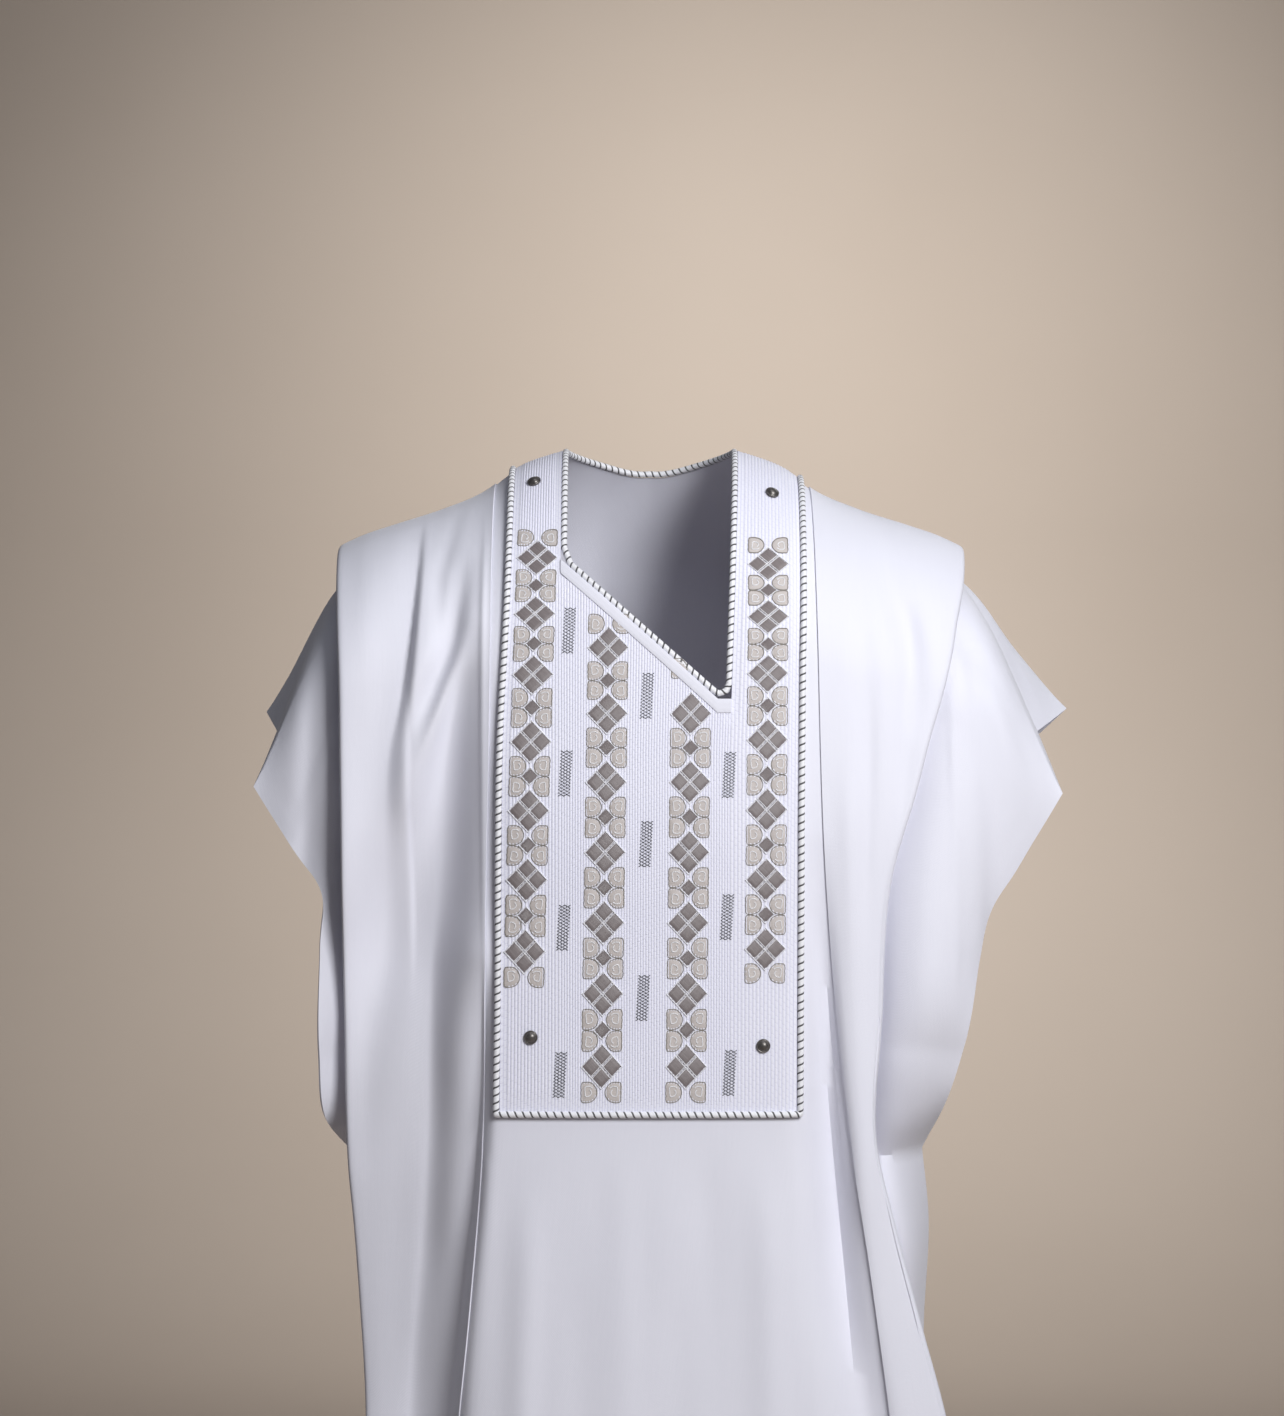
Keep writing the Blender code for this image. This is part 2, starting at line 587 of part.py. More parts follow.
def yoke_path(grid, normals, foot_row):
    """The middle of the yoke's piping: beside the yoke on the centre width, down the wearer's right,
    along the lower edge and up the wearer's left."""
    raised = grid + normals * (CORD + GAP)
    below = CORD_CLEAR / (3 * CORD)
    foot = raised[foot_row] + (raised[foot_row + 1] - raised[foot_row]) * below
    sides = []
    for edge, lap in ((2, 1), (-3, -2)):
        gap = np.abs(raised[: foot_row + 2, edge, 0] - raised[: foot_row + 2, lap, 0])
        share = (CORD_CLEAR / gap)[:, None]
        line = raised[: foot_row + 2, edge] * (1 - share) + raised[: foot_row + 2, lap] * share
        corner = line[foot_row] + (line[foot_row + 1] - line[foot_row]) * below
        sides.append(np.concatenate([line[:foot_row], corner[None, :]]))
    return np.concatenate([sides[0], foot[2:-2], sides[1][::-1]])


def stud(name, x, drop, finish):
    """A domed stud: a turned profile, standing square to the yoke."""
    here, across, along = [front_surface(np.array(a), np.array(b)) for a, b in (
        (x, drop), (x + 0.004, drop), (x, drop + 0.004))]
    normal = Vector(np.cross(across - here, here - along)).normalized()
    if normal.y > 0:
        normal.negate()
    turn = np.linspace(0, math.pi / 2, 5)
    outline = [(STUD * math.sin(a), 0, STUD_RISE * math.cos(a)) for a in turn]
    outline += [(STUD, 0, -STUD_BASE), (0, 0, -STUD_BASE)]
    mesh = bpy.data.meshes.new(name)
    mesh.from_pydata(outline[::-1], [(i, i + 1) for i in range(len(outline) - 1)], [])
    made = add(name, mesh, finish)
    screw = made.modifiers.new("turn", "SCREW")
    screw.steps = screw.render_steps = STUD_TURNS
    screw.use_merge_vertices = True
    screw.merge_threshold = 0.00005
    screw.use_normal_flip = True
    made.location = Vector(here) + normal * (2 * GAP + CLOTH + STUD_BASE + 0.0004)
    made.rotation_mode = "QUATERNION"
    made.rotation_quaternion = normal.to_track_quat("Z", "Y")
    return made


# ---------------------------------------------------------------- the robe

for old in list(bpy.data.objects):
    bpy.data.objects.remove(old, do_unlink=True)
robe = bpy.data.collections.new("grand boubou")
bpy.context.scene.collection.children.link(robe)

cotton = material("white cotton", WHITE, 0.55)
ribbed = material("ribbed yoke cloth", YOKE_WHITE, 0.6)
piping = material("two-colour piping", CORD_GREY, 0.5)
pewter = material("pewter studs", STUD_GREY, 0.35)

centre, neck, marks, front_rows = front_centre_grid()
back_rows = np.concatenate([np.arange(6) / 6, 1 + np.arange(9) / 9, 2 + np.arange(9) / 8])
for face, name in ((FRONT, "front"), (BACK, "back")):
    for side in (LEFT, RIGHT):
        grid = side_grid(face, side, front_rows[side] if face == FRONT else back_rows)
        wall(f"{name}_{SIDE_NAME[side]}", grid, outward_normals(grid, face), cotton, lift=-CLOTH)

centre_normals = outward_normals(centre, FRONT)
cloth = np.ones((centre.shape[0] - 1, centre.shape[1] - 1), bool)
cloth[: marks[0], neck] = False
wall("front_centre", centre, centre_normals, cotton, lift=-CLOTH, keep=cloth)

yoke_cells = cloth.copy()
yoke_cells[marks[2]:] = False
yoke_cells[:, [0, 1, -2, -1]] = False
wall("yoke", centre, centre_normals, ribbed, lift=GAP, keep=yoke_cells)

band_cells = np.zeros_like(cloth)
band_cells[marks[0]:marks[1], neck] = True
wall("neck_band", centre, centre_normals, ribbed, BAND, lift=2 * GAP + CLOTH, keep=band_cells)

back = back_centre_grid(back_rows)
wall("back_centre", back, outward_normals(back, BACK), cotton, lift=-CLOTH)

cord("neck_piping", neck_path(), piping, closed=True)
cord("yoke_piping", yoke_path(centre, centre_normals, marks[2]), piping)

for number, (x, drop) in enumerate(zip(*STUDS.values()), 1):
    stud(f"stud_{number}", x, drop, pewter)
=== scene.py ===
"""The finish of a grand boubou, the wide white robe worn over both shoulders: its six widths of
crisp cotton, the ribbed and embroidered yoke, the two-colour piping, the studs and the stitching.

Places are in metres. +X is the wearer's left and -Y the front. A "drop" is a distance below the
base of the neck, "out" a distance from the middle, and "depth" one to the front or the back.
"""

import math

import bpy
import numpy as np
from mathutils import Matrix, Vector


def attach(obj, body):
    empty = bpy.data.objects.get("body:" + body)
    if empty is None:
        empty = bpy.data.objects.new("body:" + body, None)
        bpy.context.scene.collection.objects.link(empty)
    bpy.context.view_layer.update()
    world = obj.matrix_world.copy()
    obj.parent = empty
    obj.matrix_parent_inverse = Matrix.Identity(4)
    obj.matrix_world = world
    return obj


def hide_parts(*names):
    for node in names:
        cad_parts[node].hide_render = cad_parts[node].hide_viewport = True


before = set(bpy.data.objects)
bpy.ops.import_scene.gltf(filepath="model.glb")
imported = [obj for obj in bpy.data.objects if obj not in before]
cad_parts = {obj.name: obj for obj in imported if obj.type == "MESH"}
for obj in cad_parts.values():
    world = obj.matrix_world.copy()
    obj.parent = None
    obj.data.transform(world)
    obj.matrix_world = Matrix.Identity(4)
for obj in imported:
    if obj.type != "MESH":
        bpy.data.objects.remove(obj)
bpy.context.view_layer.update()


# ------------------------------------------------------------------ the front centre width
# One length of crisp white cotton, cut out for the neck, sewn to the back along the shoulders and
# left raw under the side widths, which lap over it. It hangs in long folds below the yoke.

LENGTH = 1.38
ARMHOLE = 0.605  # drop of the lower end of each sleeve opening
COTTON = 0.0012  # thickness of the cloth
HEM_WALL = 0.0020  # where it is turned up and doubled
GAP = 0.0003  # between pieces that meet
LAP_WIDTH = 0.008
YOKE_DEPTH = 0.559  # drop of the yoke's lower edge
NECK_WIDTH = 0.073
CORD = 0.0028  # radius of the piping
CORD_CLEAR = 0.0024  # from its middle to the cloth's edge, which it rolls over
NECK_LEAN_RIGHT = 0.001  # how far each upright edge of the neck leans in by its foot
NECK_LEAN_LEFT = 0.0078
NECK_FOOT = 0.211
SLANT_TOP = 0.0995  # drop of the diagonal's upper end, on the wearer's right
SLANT_DROP = 0.116
SLANT_SHARE = 0.92  # how much of the opening's width it takes; the rest is level
BAND_WIDTH = 0.0115
FOLD_FADE = 0.10  # drop over which a fold fades in below its top, and out at its foot
OVAL_WIDTH = 0.36  # half width of the flattened oval that the worn robe follows
OVAL_FLARE = 0.03  # how much wider it is at the hem
OVAL_POWER = 2.5
RIPPLE_START = 0.12  # drop over which the small ripples grow to their full height
SEAM_EASE = 0.02  # depth within which creases die away towards a seam in the plane y = 0
NECK_END = 0.26  # drop past which the lines of the neck's edges run straight down
YOKE_COVER = 0.135  # half width that the yoke covers: the cloth under it has no creases
YOKE_CLEAR = 0.01  # below the yoke, where the creases begin
YOKE_EASE = 0.08  # and over how much drop they grow
FRONT, BACK = -1, 1
# How far the cloth falls as it turns over the shoulder: in the middle, and how much less it is for
# each metre out
FALL = {FRONT: (0.180, 0.185), BACK: (0.125, 0.110)}


def table(names, *rows):
    """A small table: each column's name with its values, one from each row."""
    return dict(zip(names.split(), np.array(rows, float).T))


def read(columns, name, place):
    """A column's value at any place along the first column, on a cubic through the rows."""
    places = next(iter(columns.values()))
    values = columns[name]
    slopes = np.gradient(values, places)
    i = np.clip(np.searchsorted(places, place) - 1, 0, len(places) - 2)
    step = places[i + 1] - places[i]
    t = np.clip((place - places[i]) / step, 0, 1)
    start = values[i] * (1 + 2 * t) * (1 - t) ** 2 + slopes[i] * step * t * (1 - t) ** 2
    end = values[i + 1] * (3 - 2 * t) * t**2 - slopes[i + 1] * step * t**2 * (1 - t)
    return start + end


def ease(t):
    """A smooth step from 0 to 1."""
    t = np.clip(t, 0, 1)
    return t * t * (3 - 2 * t)


# How deep the worn robe stands in the middle of the front and of the back
BODY = table(
    "drop front back",
    (0.00, 0.112, 0.100),
    (0.10, 0.128, 0.120),
    (0.20, 0.140, 0.130),
    (0.30, 0.146, 0.132),
    (0.45, 0.143, 0.124),
    (0.60, 0.142, 0.122),
    (0.84, 0.150, 0.135),
    (1.10, 0.168, 0.155),
    (1.38, 0.190, 0.182),
)
# The line of the shoulders, from the middle of the neck to the tip
SHOULDER = table(
    "out drop",
    (0.000, -0.018),
    (0.040, -0.012),
    (0.075, 0.001),
    (0.120, 0.019),
    (0.140, 0.034),
    (0.180, 0.050),
    (0.220, 0.063),
    (0.250, 0.073),
    (0.272, 0.083),
    (0.300, 0.094),
)
# Where each side width laps over the centre one, and how far its edge is lifted
LAP = table(
    "drop left right lift",
    (0.00, 0.138, 0.134, 0.0019),
    (0.16, 0.140, 0.134, 0.0019),
    (0.38, 0.147, 0.137, 0.0020),
    (0.50, 0.157, 0.138, 0.0022),
    (0.60, 0.170, 0.140, 0.0024),
    (0.72, 0.187, 0.150, 0.0026),
    (0.82, 0.200, 0.161, 0.0028),
    (1.10, 0.222, 0.184, 0.0030),
    (1.38, 0.240, 0.200, 0.0034),
)
# The middle of the piping down the yoke's two sides
PIPING_LINE = table(
    "drop left right",
    (0.00, 0.1282, 0.1170),
    (0.13, 0.1276, 0.1193),
    (0.24, 0.1262, 0.1244),
    (0.37, 0.1250, 0.1259),
    (0.56, 0.1237, 0.1278),
)
# Long folds. Each runs from its top to its foot on a line through three places across. Its height
# is positive for a ridge and negative for a trough, at its top and its foot
FOLD_COLUMNS = "top foot x_top x_middle x_foot height_top height_foot spread_right spread_left"
FOLDS = {
    FRONT: table(
        FOLD_COLUMNS,
        (0.90, 1.38, -0.070, -0.082, -0.098, -0.004, -0.030, 0.026, 0.026),
        (0.95, 1.38, 0.040, 0.056, 0.074, -0.004, -0.032, 0.028, 0.026),
    ),
    BACK: table(
        FOLD_COLUMNS,
        (0.08, 1.38, -0.186, -0.200, -0.206, -0.010, -0.030, 0.020, 0.018),
        (0.20, 1.38, -0.110, -0.124, -0.132, -0.008, -0.032, 0.022, 0.026),
        (0.30, 1.38, -0.036, -0.044, -0.052, -0.005, -0.030, 0.026, 0.024),
        (0.26, 1.38, 0.040, 0.046, 0.050, -0.006, -0.034, 0.024, 0.026),
        (0.16, 1.38, 0.112, 0.122, 0.134, -0.009, -0.030, 0.024, 0.020),
        (0.06, 1.38, 0.190, 0.198, 0.212, -0.011, -0.030, 0.018, 0.020),
    ),
}
# The drapes of the front, which bend on their way down: each by its place across at every drop, its
# height and how far it spreads to the wearer's right and left. The last is a broad swell that turns
# into a trough below the armhole
DRAPE_COLUMNS = "drop x height right left"
DRAPES = [
    table(
        DRAPE_COLUMNS,
        (0.055, -0.1960, 0.000, 0.020, 0.0030),
        (0.085, -0.1965, -0.006, 0.022, 0.0030),
        (0.130, -0.1985, -0.011, 0.030, 0.0030),
        (0.178, -0.2025, -0.014, 0.036, 0.0036),
        (0.215, -0.2090, -0.015, 0.038, 0.0060),
        (0.255, -0.2190, -0.015, 0.038, 0.0120),
        (0.340, -0.2240, -0.016, 0.034, 0.0200),
        (0.433, -0.2280, -0.014, 0.030, 0.0240),
        (0.483, -0.2370, -0.012, 0.028, 0.0260),
        (0.540, -0.2460, -0.007, 0.026, 0.0260),
        (0.620, -0.2560, 0.000, 0.024, 0.0260),
    ),
    table(
        DRAPE_COLUMNS,
        (0.090, -0.1570, 0.000, 0.012, 0.0080),
        (0.130, -0.1610, -0.006, 0.012, 0.0080),
        (0.172, -0.1680, -0.011, 0.012, 0.0080),
        (0.212, -0.1830, -0.011, 0.012, 0.0085),
        (0.255, -0.1980, -0.004, 0.014, 0.0100),
        (0.300, -0.2060, 0.000, 0.014, 0.0100),
    ),
    table(
        DRAPE_COLUMNS,
        (0.150, -0.1480, 0.000, 0.010, 0.0100),
        (0.185, -0.1540, -0.006, 0.010, 0.0140),
        (0.216, -0.1620, -0.015, 0.010, 0.0200),
        (0.258, -0.1690, -0.025, 0.016, 0.0250),
        (0.300, -0.1730, -0.032, 0.026, 0.0290),
        (0.383, -0.1800, -0.038, 0.060, 0.0310),
        (0.433, -0.1850, -0.038, 0.090, 0.0270),
        (0.483, -0.1870, -0.036, 0.110, 0.0250),
        (0.584, -0.1890, -0.036, 0.120, 0.0250),
        (0.684, -0.1950, -0.036, 0.120, 0.0250),
        (0.784, -0.2030, -0.036, 0.120, 0.0260),
        (1.000, -0.2080, -0.034, 0.060, 0.0270),
        (1.380, -0.2140, -0.034, 0.036, 0.0270),
    ),
    table(
        DRAPE_COLUMNS,
        (0.430, -0.1400, 0.000, 0.016, 0.0060),
        (0.483, -0.1415, -0.010, 0.020, 0.0065),
        (0.533, -0.1420, -0.016, 0.024, 0.0070),
        (0.584, -0.1450, -0.020, 0.026, 0.0075),
        (0.634, -0.1490, -0.023, 0.026, 0.0078),
        (0.684, -0.1555, -0.025, 0.026, 0.0085),
        (0.734, -0.1620, -0.026, 0.024, 0.0090),
        (0.784, -0.1685, -0.027, 0.024, 0.0100),
        (1.100, -0.1750, -0.028, 0.020, 0.0160),
        (1.380, -0.1780, -0.030, 0.020, 0.0200),
    ),
    table(
        DRAPE_COLUMNS,
        (0.060, 0.1990, 0.000, 0.014, 0.0120),
        (0.112, 0.2040, -0.004, 0.014, 0.0120),
        (0.150, 0.2140, -0.006, 0.014, 0.0120),
        (0.194, 0.2200, -0.003, 0.014, 0.0120),
        (0.250, 0.2210, 0.000, 0.014, 0.0120),
    ),
    table(
        DRAPE_COLUMNS,
        (0.330, 0.1400, 0.000, 0.012, 0.0080),
        (0.400, 0.1440, -0.005, 0.014, 0.0080),
        (0.483, 0.1485, -0.013, 0.016, 0.0075),
        (0.533, 0.1510, -0.018, 0.018, 0.0080),
        (0.584, 0.1540, -0.022, 0.020, 0.0095),
        (0.634, 0.1575, -0.023, 0.020, 0.0110),
        (0.684, 0.1605, -0.023, 0.020, 0.0130),
        (0.734, 0.1665, -0.021, 0.020, 0.0140),
        (0.784, 0.1760, -0.018, 0.020, 0.0140),
        (1.380, 0.2260, -0.026, 0.022, 0.0200),
    ),
    table(
        DRAPE_COLUMNS,
        (0.060, -0.2720, 0.000, 0.050, 0.0450),
        (0.120, -0.2680, 0.007, 0.050, 0.0450),
        (0.200, -0.2640, 0.011, 0.050, 0.0450),
        (0.330, -0.2620, 0.013, 0.050, 0.0450),
        (0.470, -0.2610, 0.011, 0.050, 0.0450),
        (0.570, -0.2600, 0.000, 0.060, 0.0600),
        (0.680, -0.2600, -0.012, 0.070, 0.0800),
        (0.784, -0.2620, -0.018, 0.070, 0.0850),
        (1.000, -0.2780, -0.008, 0.070, 0.0850),
        (1.380, -0.3000, 0.000, 0.070, 0.0850),
    ),
]
# Fine creases and soft dents that lie over the folds, in the same columns
CREASES = {
    FRONT: table(
        FOLD_COLUMNS,
        (0.03, 0.11, -0.159, -0.168, -0.178, -0.0030, -0.0020, 0.008, 0.007),
        (0.17, 0.38, -0.2010, -0.2005, -0.1985, -0.0022, -0.0020, 0.003, 0.014),
        (0.05, 0.42, -0.1395, -0.1400, -0.1375, 0.0018, 0.0008, 0.003, 0.003),
        (0.08, 0.20, 0.160, 0.173, 0.180, -0.0022, -0.0010, 0.012, 0.010),
        (0.18, 0.34, 0.182, 0.183, 0.180, -0.0022, -0.0015, 0.009, 0.006),
        (0.24, 0.60, 0.165, 0.168, 0.176, 0.0024, 0.0030, 0.010, 0.012),
        (0.16, 0.42, 0.250, 0.255, 0.257, 0.0015, 0.0008, 0.002, 0.005),
        (0.10, 0.26, 0.222, 0.219, 0.212, -0.0022, -0.0012, 0.008, 0.012),
        (0.12, 0.40, 0.262, 0.284, 0.292, -0.0050, -0.0034, 0.012, 0.014),
        (0.14, 0.44, -0.280, -0.290, -0.296, -0.0030, -0.0030, 0.010, 0.012),
        (0.60, 1.30, -0.098, -0.112, -0.126, 0.0030, 0.0040, 0.016, 0.014),
        (0.62, 1.38, -0.040, -0.034, -0.026, 0.0015, 0.0040, 0.022, 0.026),
        (0.66, 1.38, 0.020, 0.014, 0.010, -0.0012, -0.0030, 0.018, 0.020),
        (0.60, 1.38, 0.100, 0.112, 0.130, 0.0020, 0.0040, 0.016, 0.018),
    ),
    BACK: table(
        FOLD_COLUMNS,
        (0.10, 0.42, -0.150, -0.158, -0.166, 0.0024, 0.0016, 0.010, 0.007),
        (0.14, 0.50, 0.154, 0.160, 0.172, 0.0024, 0.0016, 0.007, 0.010),
        (0.06, 0.22, -0.060, -0.070, -0.084, -0.0020, -0.0012, 0.010, 0.014),
        (0.06, 0.24, 0.058, 0.070, 0.080, -0.0020, -0.0012, 0.014, 0.010),
        (0.30, 0.90, -0.080, -0.086, -0.092, 0.0028, 0.0030, 0.010, 0.014),
        (0.34, 0.90, 0.084, 0.088, 0.090, 0.0028, 0.0030, 0.014, 0.010),
        (0.50, 1.30, 0.004, 0.000, -0.004, 0.0030, 0.0040, 0.016, 0.018),
    ),
}


def folds(x, drop, columns):
    """How far the folds stand out: each a bell across its line, fading in below its top."""
    height = np.zeros(np.broadcast(x, drop).shape)
    for top, foot, x_top, x_middle, x_foot, high, low, right, left in zip(*columns.values()):
        along = np.clip((drop - top) / (foot - top), 0, 1)
        bow = 2 * x_middle - (x_top + x_foot) / 2
        line = x_top * (1 - along) ** 2 + 2 * bow * along * (1 - along) + x_foot * along**2
        across = x - line
        bell = np.exp(-((across / np.where(across < 0, right, left)) ** 2))
        fade_in = ease((drop - top) / FOLD_FADE)
        fade_out = 1 - ease((drop - foot) / FOLD_FADE) if foot < LENGTH else 1
        height = height + (high + (low - high) * along) * bell * fade_in * fade_out
    return height


def drapes(x, drop):
    """The same for the troughs that bend: each a bell across its place at every drop."""
    height = np.zeros(np.broadcast(x, drop).shape)
    for drape in DRAPES:
        across = x - read(drape, "x", drop)
        spread = np.where(across < 0, read(drape, "right", drop), read(drape, "left", drop))
        height = height + read(drape, "height", drop) * np.exp(-((across / spread) ** 2))
    return height


RIPPLE_LENGTHS = table(
    "across down shift height",
    (0.041, 1.100, 0.3, 0.00018),
    (0.057, -1.700, 1.7, 0.00030),
    (0.083, 1.300, 4.1, 0.00050),
    (0.120, -0.700, 2.2, 0.00060),
    (0.029, -0.900, 5.3, 0.00008),
)
SWAY, SWAY_LENGTH, SWAY_SHIFT = 0.6, 3.3, 2.1  # how far, how slowly and from where each wave sways


def ripple(u, v):
    """The small unevenness of hanging cloth: a sum of long waves that run mostly down it."""
    height = np.zeros(np.broadcast(u, v).shape)
    for across, down, shift, size in zip(*RIPPLE_LENGTHS.values()):
        turn = 2 * math.pi * v / (SWAY_LENGTH * abs(down)) + SWAY_SHIFT * shift
        sway = SWAY * np.sin(turn)
        height = height + size * np.sin(2 * math.pi * (u / across + v / down) + shift + sway)
    return height


def row_drop(out, row, face, inset):
    """Drop of a row on the column that leaves the shoulder line at out: a quarter ellipse over the
    shoulder from row 0 to 1, then even steps to the armhole at row 2 and to the hem at row 3."""
    crown = read(SHOULDER, "drop", out) + inset
    fall_middle, fall_less = FALL[face]
    fall = fall_middle - fall_less * out
    over = crown + fall * (1 - np.cos(np.minimum(row, 1) * math.pi / 2))
    down = (ARMHOLE - crown - fall) * np.clip(row - 1, 0, 1)
    return over + down + (LENGTH - ARMHOLE) * np.clip(row - 2, 0, 1)


def body_depth(x, drop, row, face, inset):
    """Depth of the worn body: a flattened oval with its folds, drawn in to nothing at row 0."""
    middle = read(BODY, "front" if face == FRONT else "back", drop)
    half_width = OVAL_WIDTH + OVAL_FLARE * drop / LENGTH
    oval = middle * (1 - np.minimum(np.abs(x) / half_width, 1) ** OVAL_POWER) ** (1 / OVAL_POWER)
    height = folds(x, drop, FOLDS[face]) + (drapes(x, drop) if face == FRONT else 0)
    return (oval + height - inset) * np.sin(np.minimum(row, 1) * math.pi / 2)


def points(x, depth, drop, face):
    """Points in space; a seam in the plane y = 0 is kept half a gap away from it."""
    depth = np.maximum(depth, GAP / 2)
    x, y, z = np.broadcast_arrays(x, face * depth, -drop)
    return np.stack([x, y, z], axis=-1)


def outward_normals(grid, face):
    """Unit normals of a grid of points, turned to the outside of the robe on its first column; both
    sides of a seam in the plane y = 0 get the same ones."""
    normals = np.cross(np.gradient(grid, axis=1), np.gradient(grid, axis=0))
    normals[np.abs(grid[..., 1]) < GAP, 1] = 0
    normals /= np.linalg.norm(normals, axis=-1, keepdims=True)
    return normals * np.sign(normals[-2, 0, 1] * face)


def run(grid, axis):
    """How far each point of a grid lies along its row or column from the first one."""
    steps = np.linalg.norm(np.diff(grid, axis=axis), axis=-1)
    start = np.zeros_like(np.take(steps, [0], axis=axis))
    return np.concatenate([start, np.cumsum(steps, axis=axis)], axis=axis)


def add(name, data):
    """An object in the scene that holds this data."""
    made = bpy.data.objects.new(name, data)
    bpy.context.scene.collection.objects.link(made)
    return made


def smooth_mesh(name, vertices, faces):
    """A mesh object from an array of points and a list of faces, shaded smooth."""
    mesh = bpy.data.meshes.new(name)
    mesh.from_pydata(vertices.reshape(-1, 3).tolist(), [], faces)
    mesh.shade_smooth()
    return add(name, mesh)


def new_piece(name, vertices, faces, material, uv=None, smooth_angle=50):
    """A smooth mesh object that rides on the robe's one body. Edges sharper than the angle stay so,
    and uv holds each point's place on the flat piece."""
    piece = smooth_mesh(name, vertices, faces)
    mesh = piece.data
    mesh.set_sharp_from_angle(angle=math.radians(smooth_angle))
    if uv is not None:
        corner = np.empty(len(mesh.loops), np.int32)
        mesh.loops.foreach_get("vertex_index", corner)
        layer = mesh.uv_layers.new(name="cloth")
        layer.data.foreach_set("uv", uv.reshape(-1, 2)[corner].astype(np.float32).ravel())
    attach(piece, "root")
    mesh.materials.append(material)
    return piece


def quads(index, turned=False):
    """The cells of a grid of point numbers, each as its four corners in order; turned ones face the
    other way."""
    corners = [index[:-1, :-1], index[1:, :-1], index[1:, 1:], index[:-1, 1:]]
    return np.stack(corners[:1] + corners[:0:-1] if turned else corners, axis=-1)


def cloth(name, outer, inner, material, uv, keep=None):
    """A closed sheet of cloth between two grids of points, with rims round its edges. keep says
    which cells of the grid are cloth, and uv holds each point's place on the flat cloth."""
    rows, columns = outer.shape[:2]
    count = rows * columns
    cells = quads(np.arange(count).reshape(rows, columns))
    cells = cells.reshape(-1, 4) if keep is None else cells[keep]
    facing = np.cross(np.gradient(outer, axis=1), np.gradient(outer, axis=0))
    if np.sum(facing[-2, 0] * (outer - inner)[-2, 0]) > 0:
        cells = cells[:, ::-1]
    edges = np.stack([cells, np.roll(cells, -1, axis=1)], axis=-1).reshape(-1, 2)
    ahead = edges[:, 0] * count + edges[:, 1]
    backward = edges[:, 1] * count + edges[:, 0]
    rim = edges[~np.isin(ahead, backward)]
    rims = np.stack([rim[:, 1], rim[:, 0], rim[:, 0] + count, rim[:, 1] + count], axis=-1)
    faces = np.concatenate([cells, cells[:, ::-1] + count, rims])
    used, faces = np.unique(faces, return_inverse=True)
    vertices = np.concatenate([outer.reshape(-1, 3), inner.reshape(-1, 3)])[used]
    flat = np.concatenate([uv.reshape(-1, 2)] * 2)[used]
    return new_piece(name, vertices, faces.reshape(-1, 4).tolist(), material, flat)


class Wire:
    """One output in a material's node tree. Sums on it add Math nodes; node() adds any other."""

    def __init__(self, tree, output=None):
        self.tree = tree
        self.output = output

    def node(self, kind, inputs=None, output=0, **settings):
        made = self.tree.nodes.new("ShaderNode" + kind)
        for name, value in settings.items():
            setattr(made, name, value)
        for place, value in (inputs or {}).items():
            if isinstance(value, Wire):
                self.tree.links.new(value.output, made.inputs[place])
            else:
                made.inputs[place].default_value = value
        return Wire(self.tree, made.outputs[output])

    def maths(self, operation, *others):
        return self.node("Math", dict(enumerate((self, *others))), operation=operation)

    def __add__(self, other):
        return self.maths("ADD", other)

    def __sub__(self, other):
        return self.maths("SUBTRACT", other)

    def __rsub__(self, other):
        return self.node("Math", {0: other, 1: self}, operation="SUBTRACT")

    def __mul__(self, other):
        return self.maths("MULTIPLY", other)

    def __abs__(self):
        return self.maths("ABSOLUTE")

    __radd__ = __add__
    __rmul__ = __mul__


def new_material(name, roughness, sheen=0.0, sheen_roughness=0.5):
    """A material with the numbers that are the same all over it: (material, shader, wire)."""
    made = bpy.data.materials.new(name)
    made.use_nodes = True
    shader = made.node_tree.nodes["Principled BSDF"]
    shader.inputs["Roughness"].default_value = roughness
    shader.inputs["Sheen Weight"].default_value = sheen
    shader.inputs["Sheen Roughness"].default_value = sheen_roughness
    return made, shader, Wire(made.node_tree)


def join(shader, socket, wire):
    shader.id_data.links.new(wire.output, shader.inputs[socket])


def bump(shader, height, strength, distance):
    """Let a height tilt the surface in the light: distance is how much a height of 1 stands up."""
    inputs = {"Height": height, "Strength": strength, "Distance": distance}
    join(shader, "Normal", height.node("Bump", inputs))


def noise(place, scale, detail, **more):
    """Noise from 0 to 1 over places, with so many lumps to the metre."""
    return place.node("TexNoise", {"Vector": place, "Scale": scale, "Detail": detail, **more})


def blend(wire, share, first, second):
    """A colour between two, by a share from 0 to 1."""
    inputs = {0: share}
    for place, colour in ((6, first), (7, second)):
        inputs[place] = colour if isinstance(colour, Wire) else (*colour, 1)
    return wire.node("Mix", inputs, output=2, data_type="RGBA")


THREAD = 0.00055  # pitch of the weave

cotton, shader, wire = new_material("white cotton", 0.62, sheen=0.22, sheen_roughness=0.45)
uv = wire.node("UVMap", uv_map="cloth")
across = wire.node("SeparateXYZ", {0: uv}, output=0)
along = wire.node("SeparateXYZ", {0: uv}, output=1)
weave = (across * (math.pi / THREAD)).maths("SINE") * (along * (math.pi / THREAD)).maths("SINE")
slubs = noise(wire.node("Mapping", {"Vector": uv, "Scale": (380, 26, 1)}), 1.0, 3.0)
place = wire.node("TexCoord", output=3)
clouds = noise(place, 7.0, 4.0)
colour = blend(wire, clouds, (0.765, 0.765, 0.855), (0.815, 0.815, 0.90))
colour = blend(wire, slubs * 0.25, colour, (0.85, 0.85, 0.92))
join(shader, "Base Color", colour)
join(shader, "Roughness", 0.52 + clouds * 0.2)
creased = noise(place, 38.0, 5.0, Roughness=0.55)
bump(shader, weave * 0.12 + slubs * 0.25 + creased * 0.5, 0.5, 0.0006)


